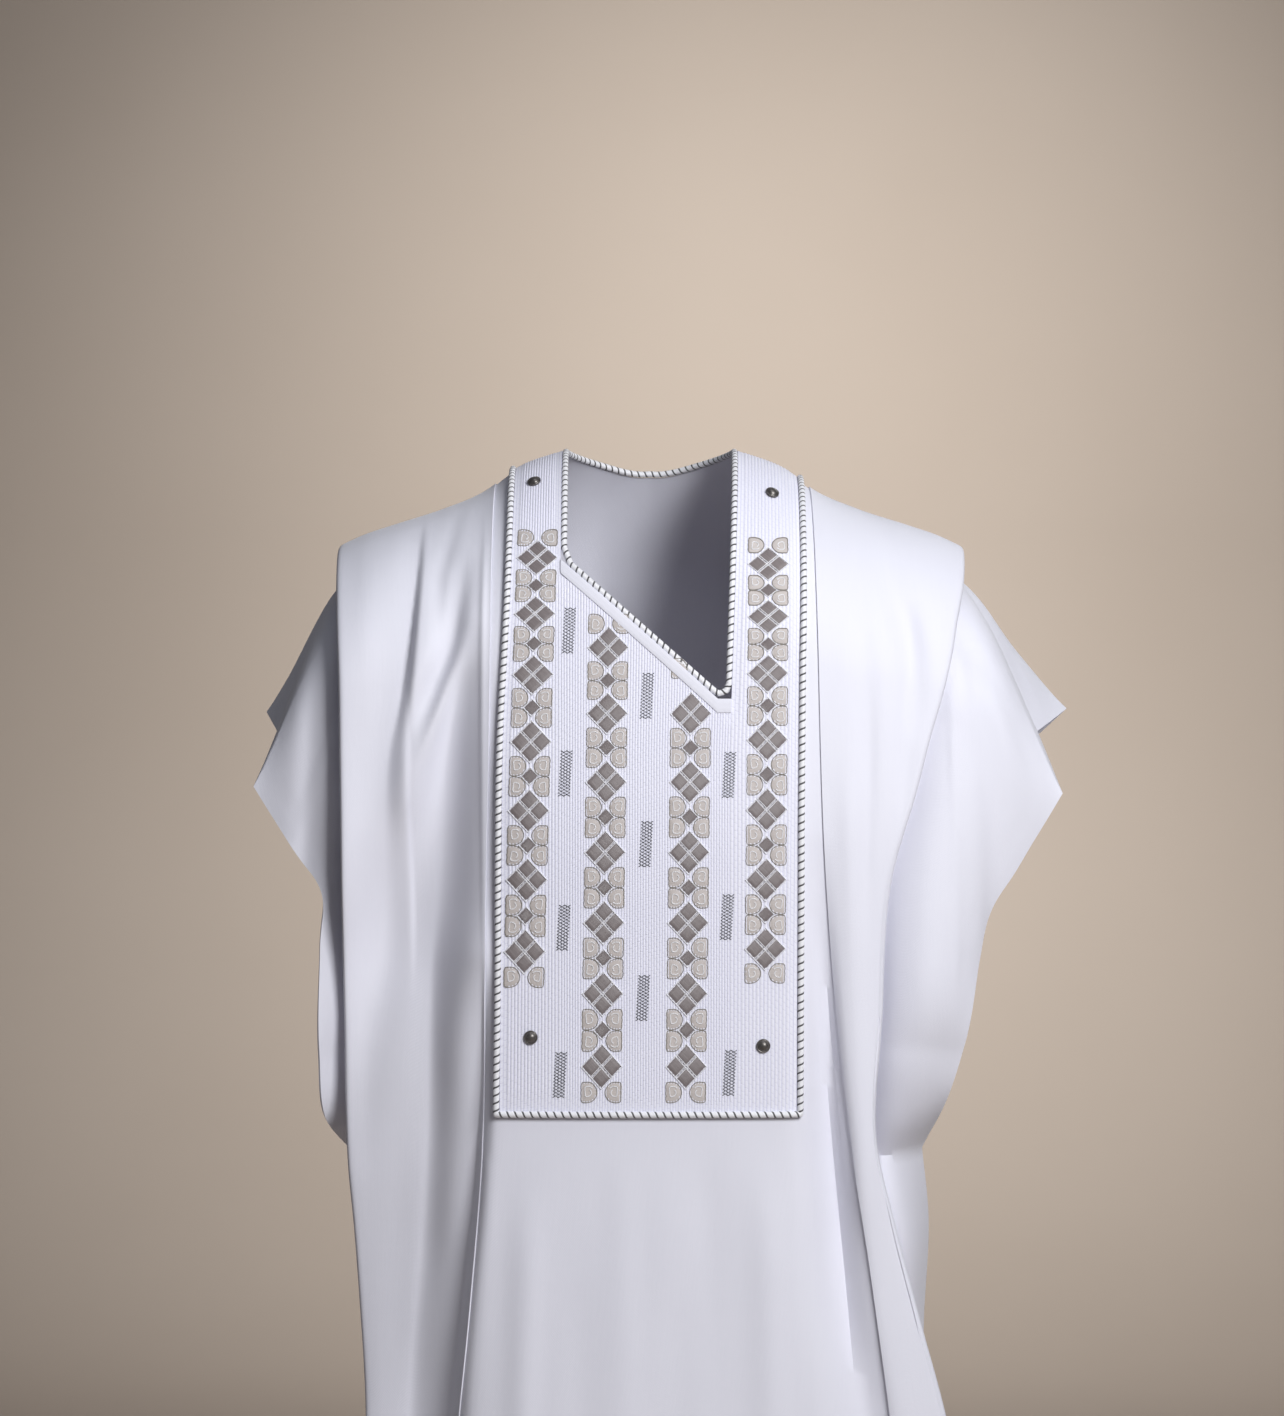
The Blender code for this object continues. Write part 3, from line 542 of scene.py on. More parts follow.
def neck_edge(drop):
    """The neck opening's two upright edges on the front: x on the wearer's right and left."""
    drop = np.minimum(drop, NECK_END)
    right = -NECK_WIDTH - CORD_CLEAR + NECK_LEAN_RIGHT * drop / NECK_FOOT
    left = NECK_WIDTH + CORD_CLEAR - NECK_LEAN_LEFT * drop / NECK_FOOT
    return right, left


def neck_foot(across):
    """Drop of the neck opening's lower edge: a diagonal down to the wearer's left, then level."""
    return SLANT_TOP + SLANT_DROP * np.minimum(across / SLANT_SHARE, 1)


def row_of_drop(out, drop, face):
    """The row that has a given drop on the column that leaves the shoulder line at out."""
    crown = row_drop(out, 0.0, face, 0)
    end = row_drop(out, 1.0, face, 0)
    on_curve = np.arccos(np.clip(1 - (drop - crown) / (end - crown), -1, 1)) * 2 / math.pi
    upper = 1 + (drop - end) / (ARMHOLE - end)
    return np.where(drop < end, on_curve, np.minimum(upper, 2))


def between(lines, columns):
    """Places across a panel: column 2.5 lies halfway between lines 2 and 3."""
    return sum(line * np.clip(1 - np.abs(columns - i), 0, 1) for i, line in enumerate(lines))


def front_grid(columns, cells):
    """Points of the front centre width, each with its x and drop. Rows: shoulder to the neck's
    foot, the turned strip, down to the yoke's edge, the piping, down to the armholes, down to the
    hem. Lines across: the raw edge, the lap, the yoke's edge and the neck's edge, then back out
    again."""

    def place(drop):
        lap_right, lap_left = -read(LAP, "right", drop), read(LAP, "left", drop)
        yoke_right = -read(PIPING_LINE, "right", drop) + CORD_CLEAR
        yoke_left = read(PIPING_LINE, "left", drop) - CORD_CLEAR
        neck_right, neck_left = neck_edge(drop)
        half = [lap_right - LAP_WIDTH, lap_right, yoke_right, neck_right]
        return between(half + [neck_left, yoke_left, lap_left, lap_left + LAP_WIDTH], columns)

    across = np.clip(columns - 3, 0, 1)
    column_out = np.abs(place(np.zeros(len(columns))))
    marks = [
        np.zeros(len(columns)),
        row_of_drop(column_out, neck_foot(across), FRONT),
        row_of_drop(column_out, neck_foot(across) + BAND_WIDTH, FRONT),
        row_of_drop(column_out, YOKE_DEPTH, FRONT),
        row_of_drop(column_out, YOKE_DEPTH + 3 * CORD, FRONT),
        np.full(len(columns), 2.0),
        np.full(len(columns), 3.0),
    ][: len(cells) + 1]
    steps = [a + (b - a) * np.arange(n)[:, None] / n for a, b, n in zip(marks, marks[1:], cells)]
    row = np.concatenate(steps + [marks[-1][None, :]])
    drop = row_drop(column_out, row, FRONT, 0)
    x = place(drop)
    depth = body_depth(x, drop, row, FRONT, 0)
    return points(x, depth, drop, FRONT), x, drop


def worn(grid, x, drop, face, share=1.0):
    """A grid with its fine creases and ripples, and the outward normals that it ends with. share
    says how much of them each point takes."""
    normals = outward_normals(grid, face)
    u, v = run(grid, 1), run(grid, 0)
    fine = folds(x, drop, CREASES[face]) + ripple(x, v) * ease(drop / RIPPLE_START)
    seam = ease(np.abs(grid[..., 1]) / SEAM_EASE)
    grid = grid + normals * (fine * share * seam)[..., None]
    return grid, outward_normals(grid, face), np.stack([u, v], axis=-1)


def lane(*stretches):
    """Places along a panel: from each to the next in so many even steps."""
    parts = [np.arange(n) / n * (b - a) + a for a, b, n in stretches]
    return np.concatenate(parts + [[stretches[-1][1]]])


HEM = 0.022  # how far the hem is turned up
GROOVE = 0.00035  # how deep its stitching pulls the cloth in
GROOVE_WIDTH = 0.0016
HEM_EASE = 0.003  # over which the doubled cloth thins out past the stitching


def hemmed(name, grid, normals, from_edge, flat, keep=None):
    """A width of cotton with its outside on a grid: doubled up to the hem's distance from its edge,
    and pulled in there by a groove of bell shape."""
    pull = GROOVE * np.exp(-(((from_edge - HEM) / GROOVE_WIDTH) ** 2))
    thick = COTTON + (HEM_WALL - COTTON) * (1 - ease((from_edge - HEM) / HEM_EASE))
    outer = grid - normals * pull[..., None]
    inner = outer - normals * thick[..., None]
    return cloth(name, outer, inner, cotton, flat, keep)


def clear_of_neck(grid, columns, above):
    """Which cells of a grid on the front are cloth: not those between the neck's two edges in the
    rows above its foot."""
    keep = np.ones((len(grid) - 1, len(columns) - 1), bool)
    keep[:above, (columns[:-1] >= 3) & (columns[:-1] < 4)] = False
    return keep


columns = lane((0, 1, 3), (1, 2, 6), (2, 3, 14), (3, 4, 52), (4, 5, 14), (5, 6, 6), (6, 7, 3))
cells = [28, 2, 60, 2, 8, 92]
grid, x, drop = front_grid(columns, cells)
below_yoke = ease((drop - YOKE_DEPTH - YOKE_CLEAR) / YOKE_EASE)
showing = 1 - (np.abs(x) < YOKE_COVER) * (1 - below_yoke)
grid, normals, flat = worn(grid, x, drop, FRONT, showing)
keep = clear_of_neck(grid, columns, cells[0])
front_centre = hemmed("front_centre_cloth", grid, normals, LENGTH - drop, flat, keep)
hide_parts("front_centre")


# ------------------------------------------------------------------ the back centre width
# The same cotton in one length, plain, cut to a shallow scoop for the back of the neck and sewn to
# the front along both shoulders.

NECK_BACK = 0.068  # depth of the back neckline


def back_grid(columns, rows):
    """Points of the back centre width; its columns inside the neck start at the back neckline."""
    neck_half = NECK_WIDTH + CORD_CLEAR

    def place(drop):
        lap_right, lap_left = -read(LAP, "right", drop), read(LAP, "left", drop)
        half = [lap_right - LAP_WIDTH, lap_right, -neck_half]
        return between(half + [neck_half, lap_left, lap_left + LAP_WIDTH], columns)

    crown_x = place(np.zeros(len(columns)))
    neckline = (NECK_BACK + CORD_CLEAR) * np.sqrt(np.clip(1 - (crown_x / neck_half) ** 2, 0, 1))
    start = np.arcsin(neckline / BODY["back"][0]) * 2 / math.pi
    row = np.where(rows[:, None] < 1, start + (1 - start) * rows[:, None], rows[:, None])
    drop = row_drop(np.abs(crown_x), row, BACK, 0)
    x = place(drop)
    return points(x, body_depth(x, drop, row, BACK, 0), drop, BACK), x, drop


rows = lane((0, 1, 44), (1, 2, 50), (2, 3, 76))
neck_columns = 2.5 - np.cos(np.linspace(0, math.pi, 57)) / 2
right_columns, left_columns = lane((0, 1, 3), (1, 2, 14)), lane((3, 4, 14), (4, 5, 3))
columns = np.concatenate([right_columns[:-1], neck_columns, left_columns[1:]])
grid, x, drop = back_grid(columns, rows)
grid, normals, flat = worn(grid, x, drop, BACK)
back_centre = hemmed("back_centre_cloth", grid, normals, LENGTH - drop, flat)
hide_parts("back_centre")


# ------------------------------------------------------------------ the four side widths
# Front and back, left and right: each is folded back on itself in one deep pleat down from the
# shoulder, and from under the pleat the open sleeve stands out over the arm. Below the armhole the
# front and back ones are sewn together.

LEFT, RIGHT = 1, -1
SIDE_NAME = {LEFT: "left", RIGHT: "right"}
LAP_EASE = 0.05  # where the lift of a lapped edge has died away
SIDE_SEAM = table(
    "drop left right",
    (0.605, 0.2365, 0.262),
    (0.660, 0.2420, 0.240),
    (0.760, 0.2380, 0.228),
    (0.840, 0.2380, 0.225),
    (1.100, 0.2620, 0.250),
    (1.380, 0.2900, 0.282),
)
# The pleat: its outer fold, how far the cloth tucks back under it and how far apart its layers lie
PLEAT = {
    (FRONT, LEFT): table(
        "drop fold tuck layer swell",
        (0.085, 0.272, 0.055, 0.008, 0.000),
        (0.120, 0.267, 0.046, 0.008, 0.000),
        (0.150, 0.260, 0.036, 0.008, 0.006),
        (0.180, 0.254, 0.026, 0.006, 0.008),
        (0.215, 0.245, 0.018, 0.007, 0.011),
        (0.245, 0.236, 0.016, 0.009, 0.012),
        (0.294, 0.223, 0.018, 0.011, 0.016),
        (0.358, 0.204, 0.022, 0.013, 0.021),
        (0.485, 0.194, 0.026, 0.013, 0.025),
        (0.590, 0.190, 0.028, 0.012, 0.019),
        (0.652, 0.204, 0.026, 0.009, 0.018),
        (0.737, 0.2265, 0.030, 0.008, 0.018),
        (0.817, 0.248, 0.036, 0.008, 0.012),
        (1.100, 0.276, 0.034, 0.008, 0.020),
        (1.380, 0.306, 0.030, 0.008, 0.030),
    ),
    (FRONT, RIGHT): table(
        "drop fold tuck layer swell",
        (0.085, 0.270, 0.055, 0.008, 0.000),
        (0.150, 0.265, 0.055, 0.008, 0.006),
        (0.200, 0.262, 0.055, 0.009, 0.010),
        (0.260, 0.261, 0.054, 0.011, 0.006),
        (0.320, 0.260, 0.052, 0.011, 0.002),
        (0.480, 0.259, 0.050, 0.011, 0.001),
        (0.617, 0.256, 0.045, 0.009, 0.002),
        (0.660, 0.252, 0.042, 0.008, 0.006),
        (0.730, 0.247, 0.042, 0.008, 0.006),
        (0.817, 0.242, 0.042, 0.008, 0.012),
        (1.100, 0.266, 0.038, 0.008, 0.022),
        (1.380, 0.298, 0.034, 0.008, 0.032),
    ),
    (BACK, LEFT): table(
        "drop fold tuck layer swell",
        (0.085, 0.272, 0.055, 0.008, 0.000),
        (0.200, 0.262, 0.052, 0.008, 0.000),
        (0.400, 0.252, 0.046, 0.008, 0.000),
        (0.605, 0.242, 0.042, 0.008, 0.000),
        (0.817, 0.238, 0.040, 0.008, 0.014),
        (1.100, 0.262, 0.036, 0.008, 0.022),
        (1.380, 0.294, 0.032, 0.008, 0.030),
    ),
    (BACK, RIGHT): table(
        "drop fold tuck layer swell",
        (0.085, 0.270, 0.055, 0.008, 0.000),
        (0.200, 0.264, 0.050, 0.008, 0.000),
        (0.400, 0.256, 0.048, 0.008, 0.000),
        (0.605, 0.246, 0.044, 0.008, 0.000),
        (0.817, 0.236, 0.042, 0.008, 0.012),
        (1.100, 0.258, 0.038, 0.008, 0.024),
        (1.380, 0.290, 0.034, 0.008, 0.030),
    ),
}
# The sleeve's edge, from its middle over the arm (row 0) to the lower end of the opening (row 2).
# It runs straight to its two corners, a little way past the arm and at row 1, and curves below them
SLEEVE_EDGE = {
    (FRONT, LEFT): table(
        "row out depth drop",
        (0.000, 0.3370, 0.000, 0.243),
        (0.458, 0.3520, 0.060, 0.296),
        (1.000, 0.3215, 0.072, 0.346),
        (1.250, 0.2910, 0.080, 0.396),
        (1.500, 0.2790, 0.084, 0.436),
        (1.750, 0.2660, 0.084, 0.510),
        (1.900, 0.2500, 0.062, 0.565),
        (2.000, 0.2365, 0.000, 0.605),
    ),
    (FRONT, RIGHT): table(
        "row out depth drop",
        (0.000, 0.3240, 0.000, 0.244),
        (0.449, 0.3370, 0.074, 0.290),
        (1.000, 0.3045, 0.088, 0.340),
        (1.250, 0.2780, 0.092, 0.380),
        (1.500, 0.2790, 0.092, 0.428),
        (1.750, 0.2800, 0.086, 0.516),
        (1.900, 0.2760, 0.062, 0.575),
        (2.000, 0.2620, 0.000, 0.605),
    ),
    (BACK, LEFT): table(
        "row out depth drop",
        (0.000, 0.3370, 0.000, 0.243),
        (0.500, 0.3680, 0.058, 0.224),
        (1.000, 0.3300, 0.084, 0.262),
        (1.250, 0.3050, 0.094, 0.335),
        (1.500, 0.2870, 0.098, 0.425),
        (1.750, 0.2640, 0.096, 0.510),
        (1.900, 0.2480, 0.068, 0.565),
        (2.000, 0.2365, 0.000, 0.605),
    ),
    (BACK, RIGHT): table(
        "row out depth drop",
        (0.000, 0.3240, 0.000, 0.244),
        (0.500, 0.3390, 0.058, 0.2265),
        (1.000, 0.3050, 0.084, 0.262),
        (1.250, 0.2900, 0.092, 0.335),
        (1.500, 0.2800, 0.096, 0.430),
        (1.750, 0.2720, 0.094, 0.510),
        (1.900, 0.2680, 0.066, 0.565),
        (2.000, 0.2620, 0.000, 0.605),
    ),
}
# How far the sleeve stands up over the arm between the pleat and its edge
SLEEVE_ROUND = {
    (FRONT, LEFT): 0.066,
    (FRONT, RIGHT): 0.062,
    (BACK, LEFT): 0.046,
    (BACK, RIGHT): 0.060,
}
ARM_ROWS = 0.45  # rows over which it changes from the middle of the arm to the front or the back
# Places across the pleat: share of the flat top layer, share of the tuck, how many layers down, and
# a small step in that rounds each fold
PLEAT_COLUMNS = table(
    "place top tuck layers step",
    (0.0, 0.00, 0.0, 0.000, 0.0000),
    (1.0, 0.06, 0.0, 0.000, 0.0000),
    (2.0, 0.17, 0.0, 0.000, 0.0000),
    (3.0, 0.29, 0.0, 0.000, 0.0000),
    (4.0, 0.42, 0.0, 0.000, 0.0000),
    (5.0, 0.56, 0.0, 0.000, 0.0000),
    (6.0, 0.70, 0.0, 0.000, 0.0000),
    (7.0, 0.85, 0.0, 0.000, 0.0000),
    (7.5, 0.93, 0.0, 0.000, 0.0010),
    (8.0, 1.00, 0.0, 0.020, 0.0034),
    (8.5, 1.00, 0.0, 0.160, 0.0010),
    (9.0, 1.00, 0.0, 0.500, 0.0000),
    (9.5, 1.00, 0.0, 0.840, 0.0010),
    (10.0, 1.00, 0.0, 1.000, 0.0040),
    (11.0, 1.00, 0.5, 1.200, 0.0040),
    (12.0, 1.00, 1.0, 1.300, 0.0020),
    (13.0, 1.00, 1.0, 1.800, 0.0060),
    (14.0, 1.00, 1.0, 2.400, 0.0020),
)
CORNER = 5  # how soon the sharpness of the sleeve's corners fades away from its edge
CORNER_ROWS = 0.24  # how far along the edge the cloth behind it is rounded
CORNER_END, CORNER_FADE = 1.05, 0.15  # the row past which the edge's corners fade out, and how soon
SWELL_ROOM = 0.035  # beside a pleat, where less room than this is left, the cloth swells less
LEAST_ROOM = 0.001
SLEEVE_BLUNT = 1.25  # power that sets how blunt the sleeve's curve over the arm is
FOLD_PLACE = 8  # where the top layer ends, in the places across the pleat
CALM_PLACE, CALM_PLACES = 6.8, 1.3  # from where, and over how many, the creases die out to the fold
CALM_SLEEVE, CALM_SLEEVES = 0.1, 0.35  # the same for the sleeve, in shares of its way to its edge
HEM_ROW, HEM_ROWS = 1.93, 0.07  # from where, and over how many, the sleeve's hem ends in the seam
FAR = 10  # where there is no hem, how much further away its edge counts


def side_grid(face, side, rows, places, sleeve_places):
    """Points of a side width: the top layer from the lap to the pleat's fold, the tuck under it,
    and the sleeve from the tuck out to its edge, which becomes the side seam below the armhole."""
    row = rows[:, None]
    pleat = PLEAT[face, side]
    lap_side = SIDE_NAME[side]
    columns = ("top", "tuck", "layers", "step")
    top, tuck, layers, step = (read(PLEAT_COLUMNS, name, places) for name in columns)
    lap_top, fold_top = LAP[lap_side][0], pleat["fold"][0]
    tuck_top, layer_top = pleat["tuck"][0], pleat["layer"][0]
    on_top = places < FOLD_PLACE
    crown_out = lap_top + (fold_top - lap_top) * top - tuck_top * tuck - step
    lapping = (1 - ease((crown_out - lap_top) / LAP_EASE)) * on_top
    drop = row_drop(crown_out, row, face, layer_top * layers - LAP["lift"][0] * lapping)
    lap = read(LAP, lap_side, drop)
    fold = read(pleat, "fold", drop)
    out = lap + (fold - lap) * top - read(pleat, "tuck", drop) * tuck - step
    lapping = (1 - ease((out - lap) / LAP_EASE)) * on_top
    inset = read(pleat, "layer", drop) * layers - read(LAP, "lift", drop) * lapping
    depth = body_depth(side * out, drop, row, face, inset)
    over_pleat = points(side * out, depth, drop, face)

    edge = SLEEVE_EDGE[face, side]
    share = sleeve_places[None]
    reach = np.minimum(np.minimum(row, np.maximum(2 - row, 0)), CORNER_ROWS)
    below = ARMHOLE + (LENGTH - ARMHOLE) * np.clip(row - 2, 0, 1)
    seam = {"out": read(SIDE_SEAM, lap_side, below), "depth": 0, "drop": below}
    end = []
    for name, on_seam in seam.items():
        near = [read(edge, name, row + reach * part) for part in (-1, -0.6, -0.2, 0.2, 0.6, 1)]
        soft = np.mean(near, axis=0)
        crisp, curved = np.interp(row, edge["row"], edge[name]), read(edge, name, row)
        crisp = curved + (crisp - curved) * (1 - ease((row - CORNER_END) / CORNER_FADE))
        end.append(np.where(row >= 2, on_seam, soft + (crisp - soft) * share**CORNER))
    start = [over_pleat[:, -1:, 0] * side, over_pleat[:, -1:, 1] * face, -over_pleat[:, -1:, 2]]
    out, depth, drop = [a + (b - a) * share for a, b in zip(start, end)]
    over_arm = (SLEEVE_ROUND[FRONT, side] + SLEEVE_ROUND[BACK, side]) / 2
    rise = over_arm + (SLEEVE_ROUND[face, side] - over_arm) * ease(row / ARM_ROWS)
    drop = drop - rise * 4 * (share * (1 - share)) ** SLEEVE_BLUNT * (1 - ease(row - 1))
    fold_out = read(pleat, "fold", drop)
    room = np.maximum(end[0] - fold_out, LEAST_ROOM)
    past_fold = np.clip((out - fold_out) / room, 0, 1)
    swell = read(pleat, "swell", drop) * ease(room / SWELL_ROOM)
    swell = swell * np.sin(np.minimum(row, 1) * math.pi / 2)
    depth = depth + swell * 4 * past_fold * (1 - past_fold)
    return np.concatenate([over_pleat, points(side * out, depth, drop, face)], axis=1)


# Cells: across the top layer, the tuck and the sleeve, and down the four stretches of rows
for face, name, top, tucked, sleeve, down in (
    (FRONT, "front", 80, 30, 38, (26, 30, 64, 88)),
    (BACK, "back", 48, 20, 28, (20, 22, 46, 64)),
):
    places = lane((0, FOLD_PLACE, top), (FOLD_PLACE, 14, tucked))
    sleeve_places = lane((0, 1, sleeve))[1:]
    fold_calm = ease((places - CALM_PLACE) / CALM_PLACES)
    sleeve_calm = 1 - ease((sleeve_places - CALM_SLEEVE) / CALM_SLEEVES)
    showing = 1 - np.append(fold_calm, sleeve_calm)
    for side, area in ((LEFT, 0.36), (RIGHT, 0.40)):
        tip = SLEEVE_EDGE[face, side]["row"][1]
        rows = lane((0, tip, down[0]), (tip, 1, down[1]), (1, 2, down[2]), (2, 3, down[3]))
        grid = side_grid(face, side, rows, places, sleeve_places)
        x, drop = grid[..., 0], -grid[..., 2]
        grid, normals, flat = worn(grid, x, drop, face, showing)
        below_armhole = ease((rows[:, None] - HEM_ROW) / HEM_ROWS)
        from_sleeve_edge = run(grid[:, ::-1], 1)[:, ::-1] + FAR * below_armhole
        from_edge = np.minimum(LENGTH - drop, from_sleeve_edge)
        node = f"{name}_{SIDE_NAME[side]}"
        width = hemmed(f"{node}_cloth", grid, normals, from_edge, flat)
        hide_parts(node)


# ------------------------------------------------------------------ the yoke
# A stiff ribbed white cloth laid on the front from the shoulder seam to the waist, with the neck
# cut through it. Fine cords run down it under the cloth, and its edges are left plain.

RIB = 0.00050  # height of a rib
RIB_COLUMNS = 4  # points across each rib
RIB_SHAPE = np.array([0.0, 0.72, 1.0, 0.72])
RIB_SUNK = 0.3  # how much of a rib's height lies below the yoke's face
STRAP_RIBS, OPENING_RIBS = 18, 62
MARGIN = 0.0052  # plain cloth left inside each edge
MARGIN_EASE = 0.001
BESIDE_NECK = 0.002  # how far below the strip the neck's edges still count
YOKE_FACE = 0.0021  # from the cotton's face to the yoke's
NICK_LENGTH = 0.0062  # between the small ties across each rib
NICK_SHIFT = 0.618  # how much further along they lie on the next rib, in lengths


def smooth_step(wire, start, end, first, last):
    """A smooth change from first to last while the wire's value goes from start to end."""
    inputs = {0: wire, 1: start, 2: end, 3: first, 4: last}
    return wire.node("MapRange", inputs, interpolation_type="SMOOTHSTEP")


ribbed, shader, wire = new_material("ribbed yoke cloth", 0.6, sheen=0.15)
uv = wire.node("UVMap", uv_map="cloth")
number = wire.node("SeparateXYZ", {0: uv}, output=0)
along = wire.node("SeparateXYZ", {0: uv}, output=1)
offset = (number.maths("FLOOR") * NICK_SHIFT).maths("FRACT")
from_tie = abs((along * (1 / NICK_LENGTH) + offset).maths("FRACT") - 0.5)
from_middle = abs(number.maths("FRACT") - 0.5)
tie_dent_and_shade = smooth_step(from_tie, 0.0, 0.10, 1.0, 0.0)
painted_groove_shade = smooth_step(from_middle, 0.28, 0.5, 0.0, 1.0)
place = wire.node("TexCoord", output=3)
fuzz, clouds = noise(place, 900.0, 2.0), noise(place, 16.0, 3.0)
colour = blend(wire, clouds, (0.82, 0.82, 0.93), (0.87, 0.87, 0.96))
# painted shade: the grooves between the ribs are darkened towards a shaded lilac grey
colour = blend(wire, painted_groove_shade * 0.6, colour, (0.58, 0.58, 0.76))
# painted shade: the small dents at the ties are darkened here, and the bump below also presses them
# in
colour = blend(wire, tie_dent_and_shade * 0.4, colour, (0.66, 0.66, 0.82))
join(shader, "Base Color", colour)
join(shader, "Roughness", 0.5 + fuzz * 0.2)
bump(shader, fuzz * 0.35 - tie_dent_and_shade * 0.8, 0.6, 0.0003)

strap, opening = STRAP_RIBS * RIB_COLUMNS, OPENING_RIBS * RIB_COLUMNS
columns = lane((2, 3, strap), (3, 4, opening), (4, 5, strap))
cells = [22, 2, 54]
grid, x, drop = front_grid(columns, cells)
normals = outward_normals(grid, FRONT)
neck_right, neck_left = neck_edge(drop)
strip_foot = neck_foot(np.clip(columns - 3, 0, 1)) + BAND_WIDTH
from_edge = np.minimum(x - x[:, :1], x[:, -1:] - x)
from_neck = np.where(columns < 3.5, np.abs(neck_right - x), np.abs(x - neck_left))
from_neck = np.where(drop < strip_foot + BESIDE_NECK, from_neck, from_edge)
from_edge = np.minimum(np.minimum(from_edge, from_neck), YOKE_DEPTH - drop)
rib = np.resize(RIB_SHAPE, len(columns)) * RIB * ease((from_edge - MARGIN) / MARGIN_EASE)
outer = grid + normals * (YOKE_FACE - RIB * RIB_SUNK + rib)[..., None]
inner = grid + normals * GAP
keep = clear_of_neck(grid, columns, cells[0])
rib_number = np.broadcast_to(np.arange(len(columns)) / RIB_COLUMNS, x.shape)
flat = np.stack([rib_number, run(grid, 0)], axis=-1)
yoke = cloth("yoke_cloth", outer, inner, ribbed, flat, keep)
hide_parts("yoke")


# ------------------------------------------------------------------ the strip under the neck
# A smooth strip of white cotton turned over the yoke's diagonal edge and stitched down along both
# of its long sides; it runs on level past the foot of the neck.

STRIP_BACK = YOKE_FACE + 0.0001
STRIP_FACE = YOKE_FACE + 0.0009
STRIP_CROWN = 0.0004  # how far its middle stands up from its rolled edges
EDGE_ROLL = 1 / 6  # how much of its width each rolled edge takes
STITCH = 0.00022  # depth of the two rows of stitching, and their place and width in shares
STITCH_PLACE, STITCH_WIDTH = 0.36, 0.05

columns = lane((3, 3 + SLANT_SHARE, 80), (3 + SLANT_SHARE, 4, 8))
grid, x, drop = front_grid(columns, [1, 12])
grid, x, drop = grid[1:], x[1:], drop[1:]
normals = outward_normals(grid, FRONT)
down = (drop - drop[:1]) / (drop[-1:] - drop[:1])
edge_roll = np.minimum(np.minimum(down, 1 - down) / EDGE_ROLL, 1)
stitched = np.exp(-(((np.abs(down - 0.5) - STITCH_PLACE) / STITCH_WIDTH) ** 2))
crown = STRIP_CROWN * np.sqrt(edge_roll) - STITCH * stitched
outer = grid + normals * (STRIP_FACE + crown)[..., None]
inner = grid + normals * STRIP_BACK
flat = np.stack([run(grid, 1), run(grid, 0)], axis=-1)
strip = cloth("neck_strip", outer, inner, cotton, flat)
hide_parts("neck_band")


# ------------------------------------------------------------------ the embroidery
# Worked on the yoke before it is laid on: four columns of split lozenges in taupe satin stitch with
# cream curled squares between them, and short bars of grey zigzag stitch in between.

PAD_SUNK = 0.0004  # how far the patches and the threads go in below the yoke's face
THREAD_SUNK = 0.0003
THREAD_PITCH = 0.0007  # between the threads of satin stitch
BESIDE = 0.0015  # to each side of a place, where the surface is read for its normal


def front_surface(x, drop):
    """Points of the front centre width at any x and drop, for what is laid along it."""
    row = row_of_drop(np.abs(x), drop, FRONT)
    drop = np.maximum(drop, row_drop(np.abs(x), 0.0, FRONT, 0))
    return points(x, body_depth(x, drop, row, FRONT, 0), drop, FRONT)


def on_yoke(x, drop, height):
    """Points at a height above the yoke's face, at any x and drop: moved out along the normal that
    the surface has between places a small step to each side."""
    across = front_surface(x + BESIDE, drop) - front_surface(x - BESIDE, drop)
    down = front_surface(x, drop + BESIDE) - front_surface(x, drop - BESIDE)
    normals = np.cross(down, across)
    normals /= np.linalg.norm(normals, axis=-1, keepdims=True)
    return front_surface(x, drop) + normals * (YOKE_FACE + height)[..., None]


def pads(name, x, drop, height, material, uv):
    """Many small padded patches in one mesh. x, drop, height and uv are arrays of patch, row and
    column; each patch is closed underneath, inside the yoke, and a mirrored one is turned over."""
    count, rows, columns = x.shape
    top = on_yoke(x, drop, height)
    bottom = on_yoke(x, drop, np.full(x.shape, -PAD_SUNK))
    size = rows * columns
    index = np.arange(size).reshape(rows, columns)
    cells = quads(index).reshape(-1, 4)
    ring = np.concatenate([index[0, :-1], index[:-1, -1], index[-1, :0:-1], index[:0:-1, 0]])
    after = np.roll(ring, -1)
    rims = np.stack([after, ring, ring + size, after + size], axis=-1)
    one = np.concatenate([cells, cells[:, ::-1] + size, rims[:, ::-1]])
    turn = (x[:, 0, 1] - x[:, 0, 0]) * (drop[:, 1, 0] - drop[:, 0, 0])
    turn = turn - (x[:, 1, 0] - x[:, 0, 0]) * (drop[:, 0, 1] - drop[:, 0, 0])
    patches = np.where(turn[:, None, None] > 0, one[None], one[None, :, ::-1])
    faces = (patches + np.arange(count)[:, None, None] * 2 * size).reshape(-1, 4).tolist()
    vertices = np.concatenate([top.reshape(count, size, 3), bottom.reshape(count, size, 3)], axis=1)
    flat = np.concatenate([uv.reshape(count, size, 2)] * 2, axis=1)
    return new_piece(name, vertices, faces, material, flat)


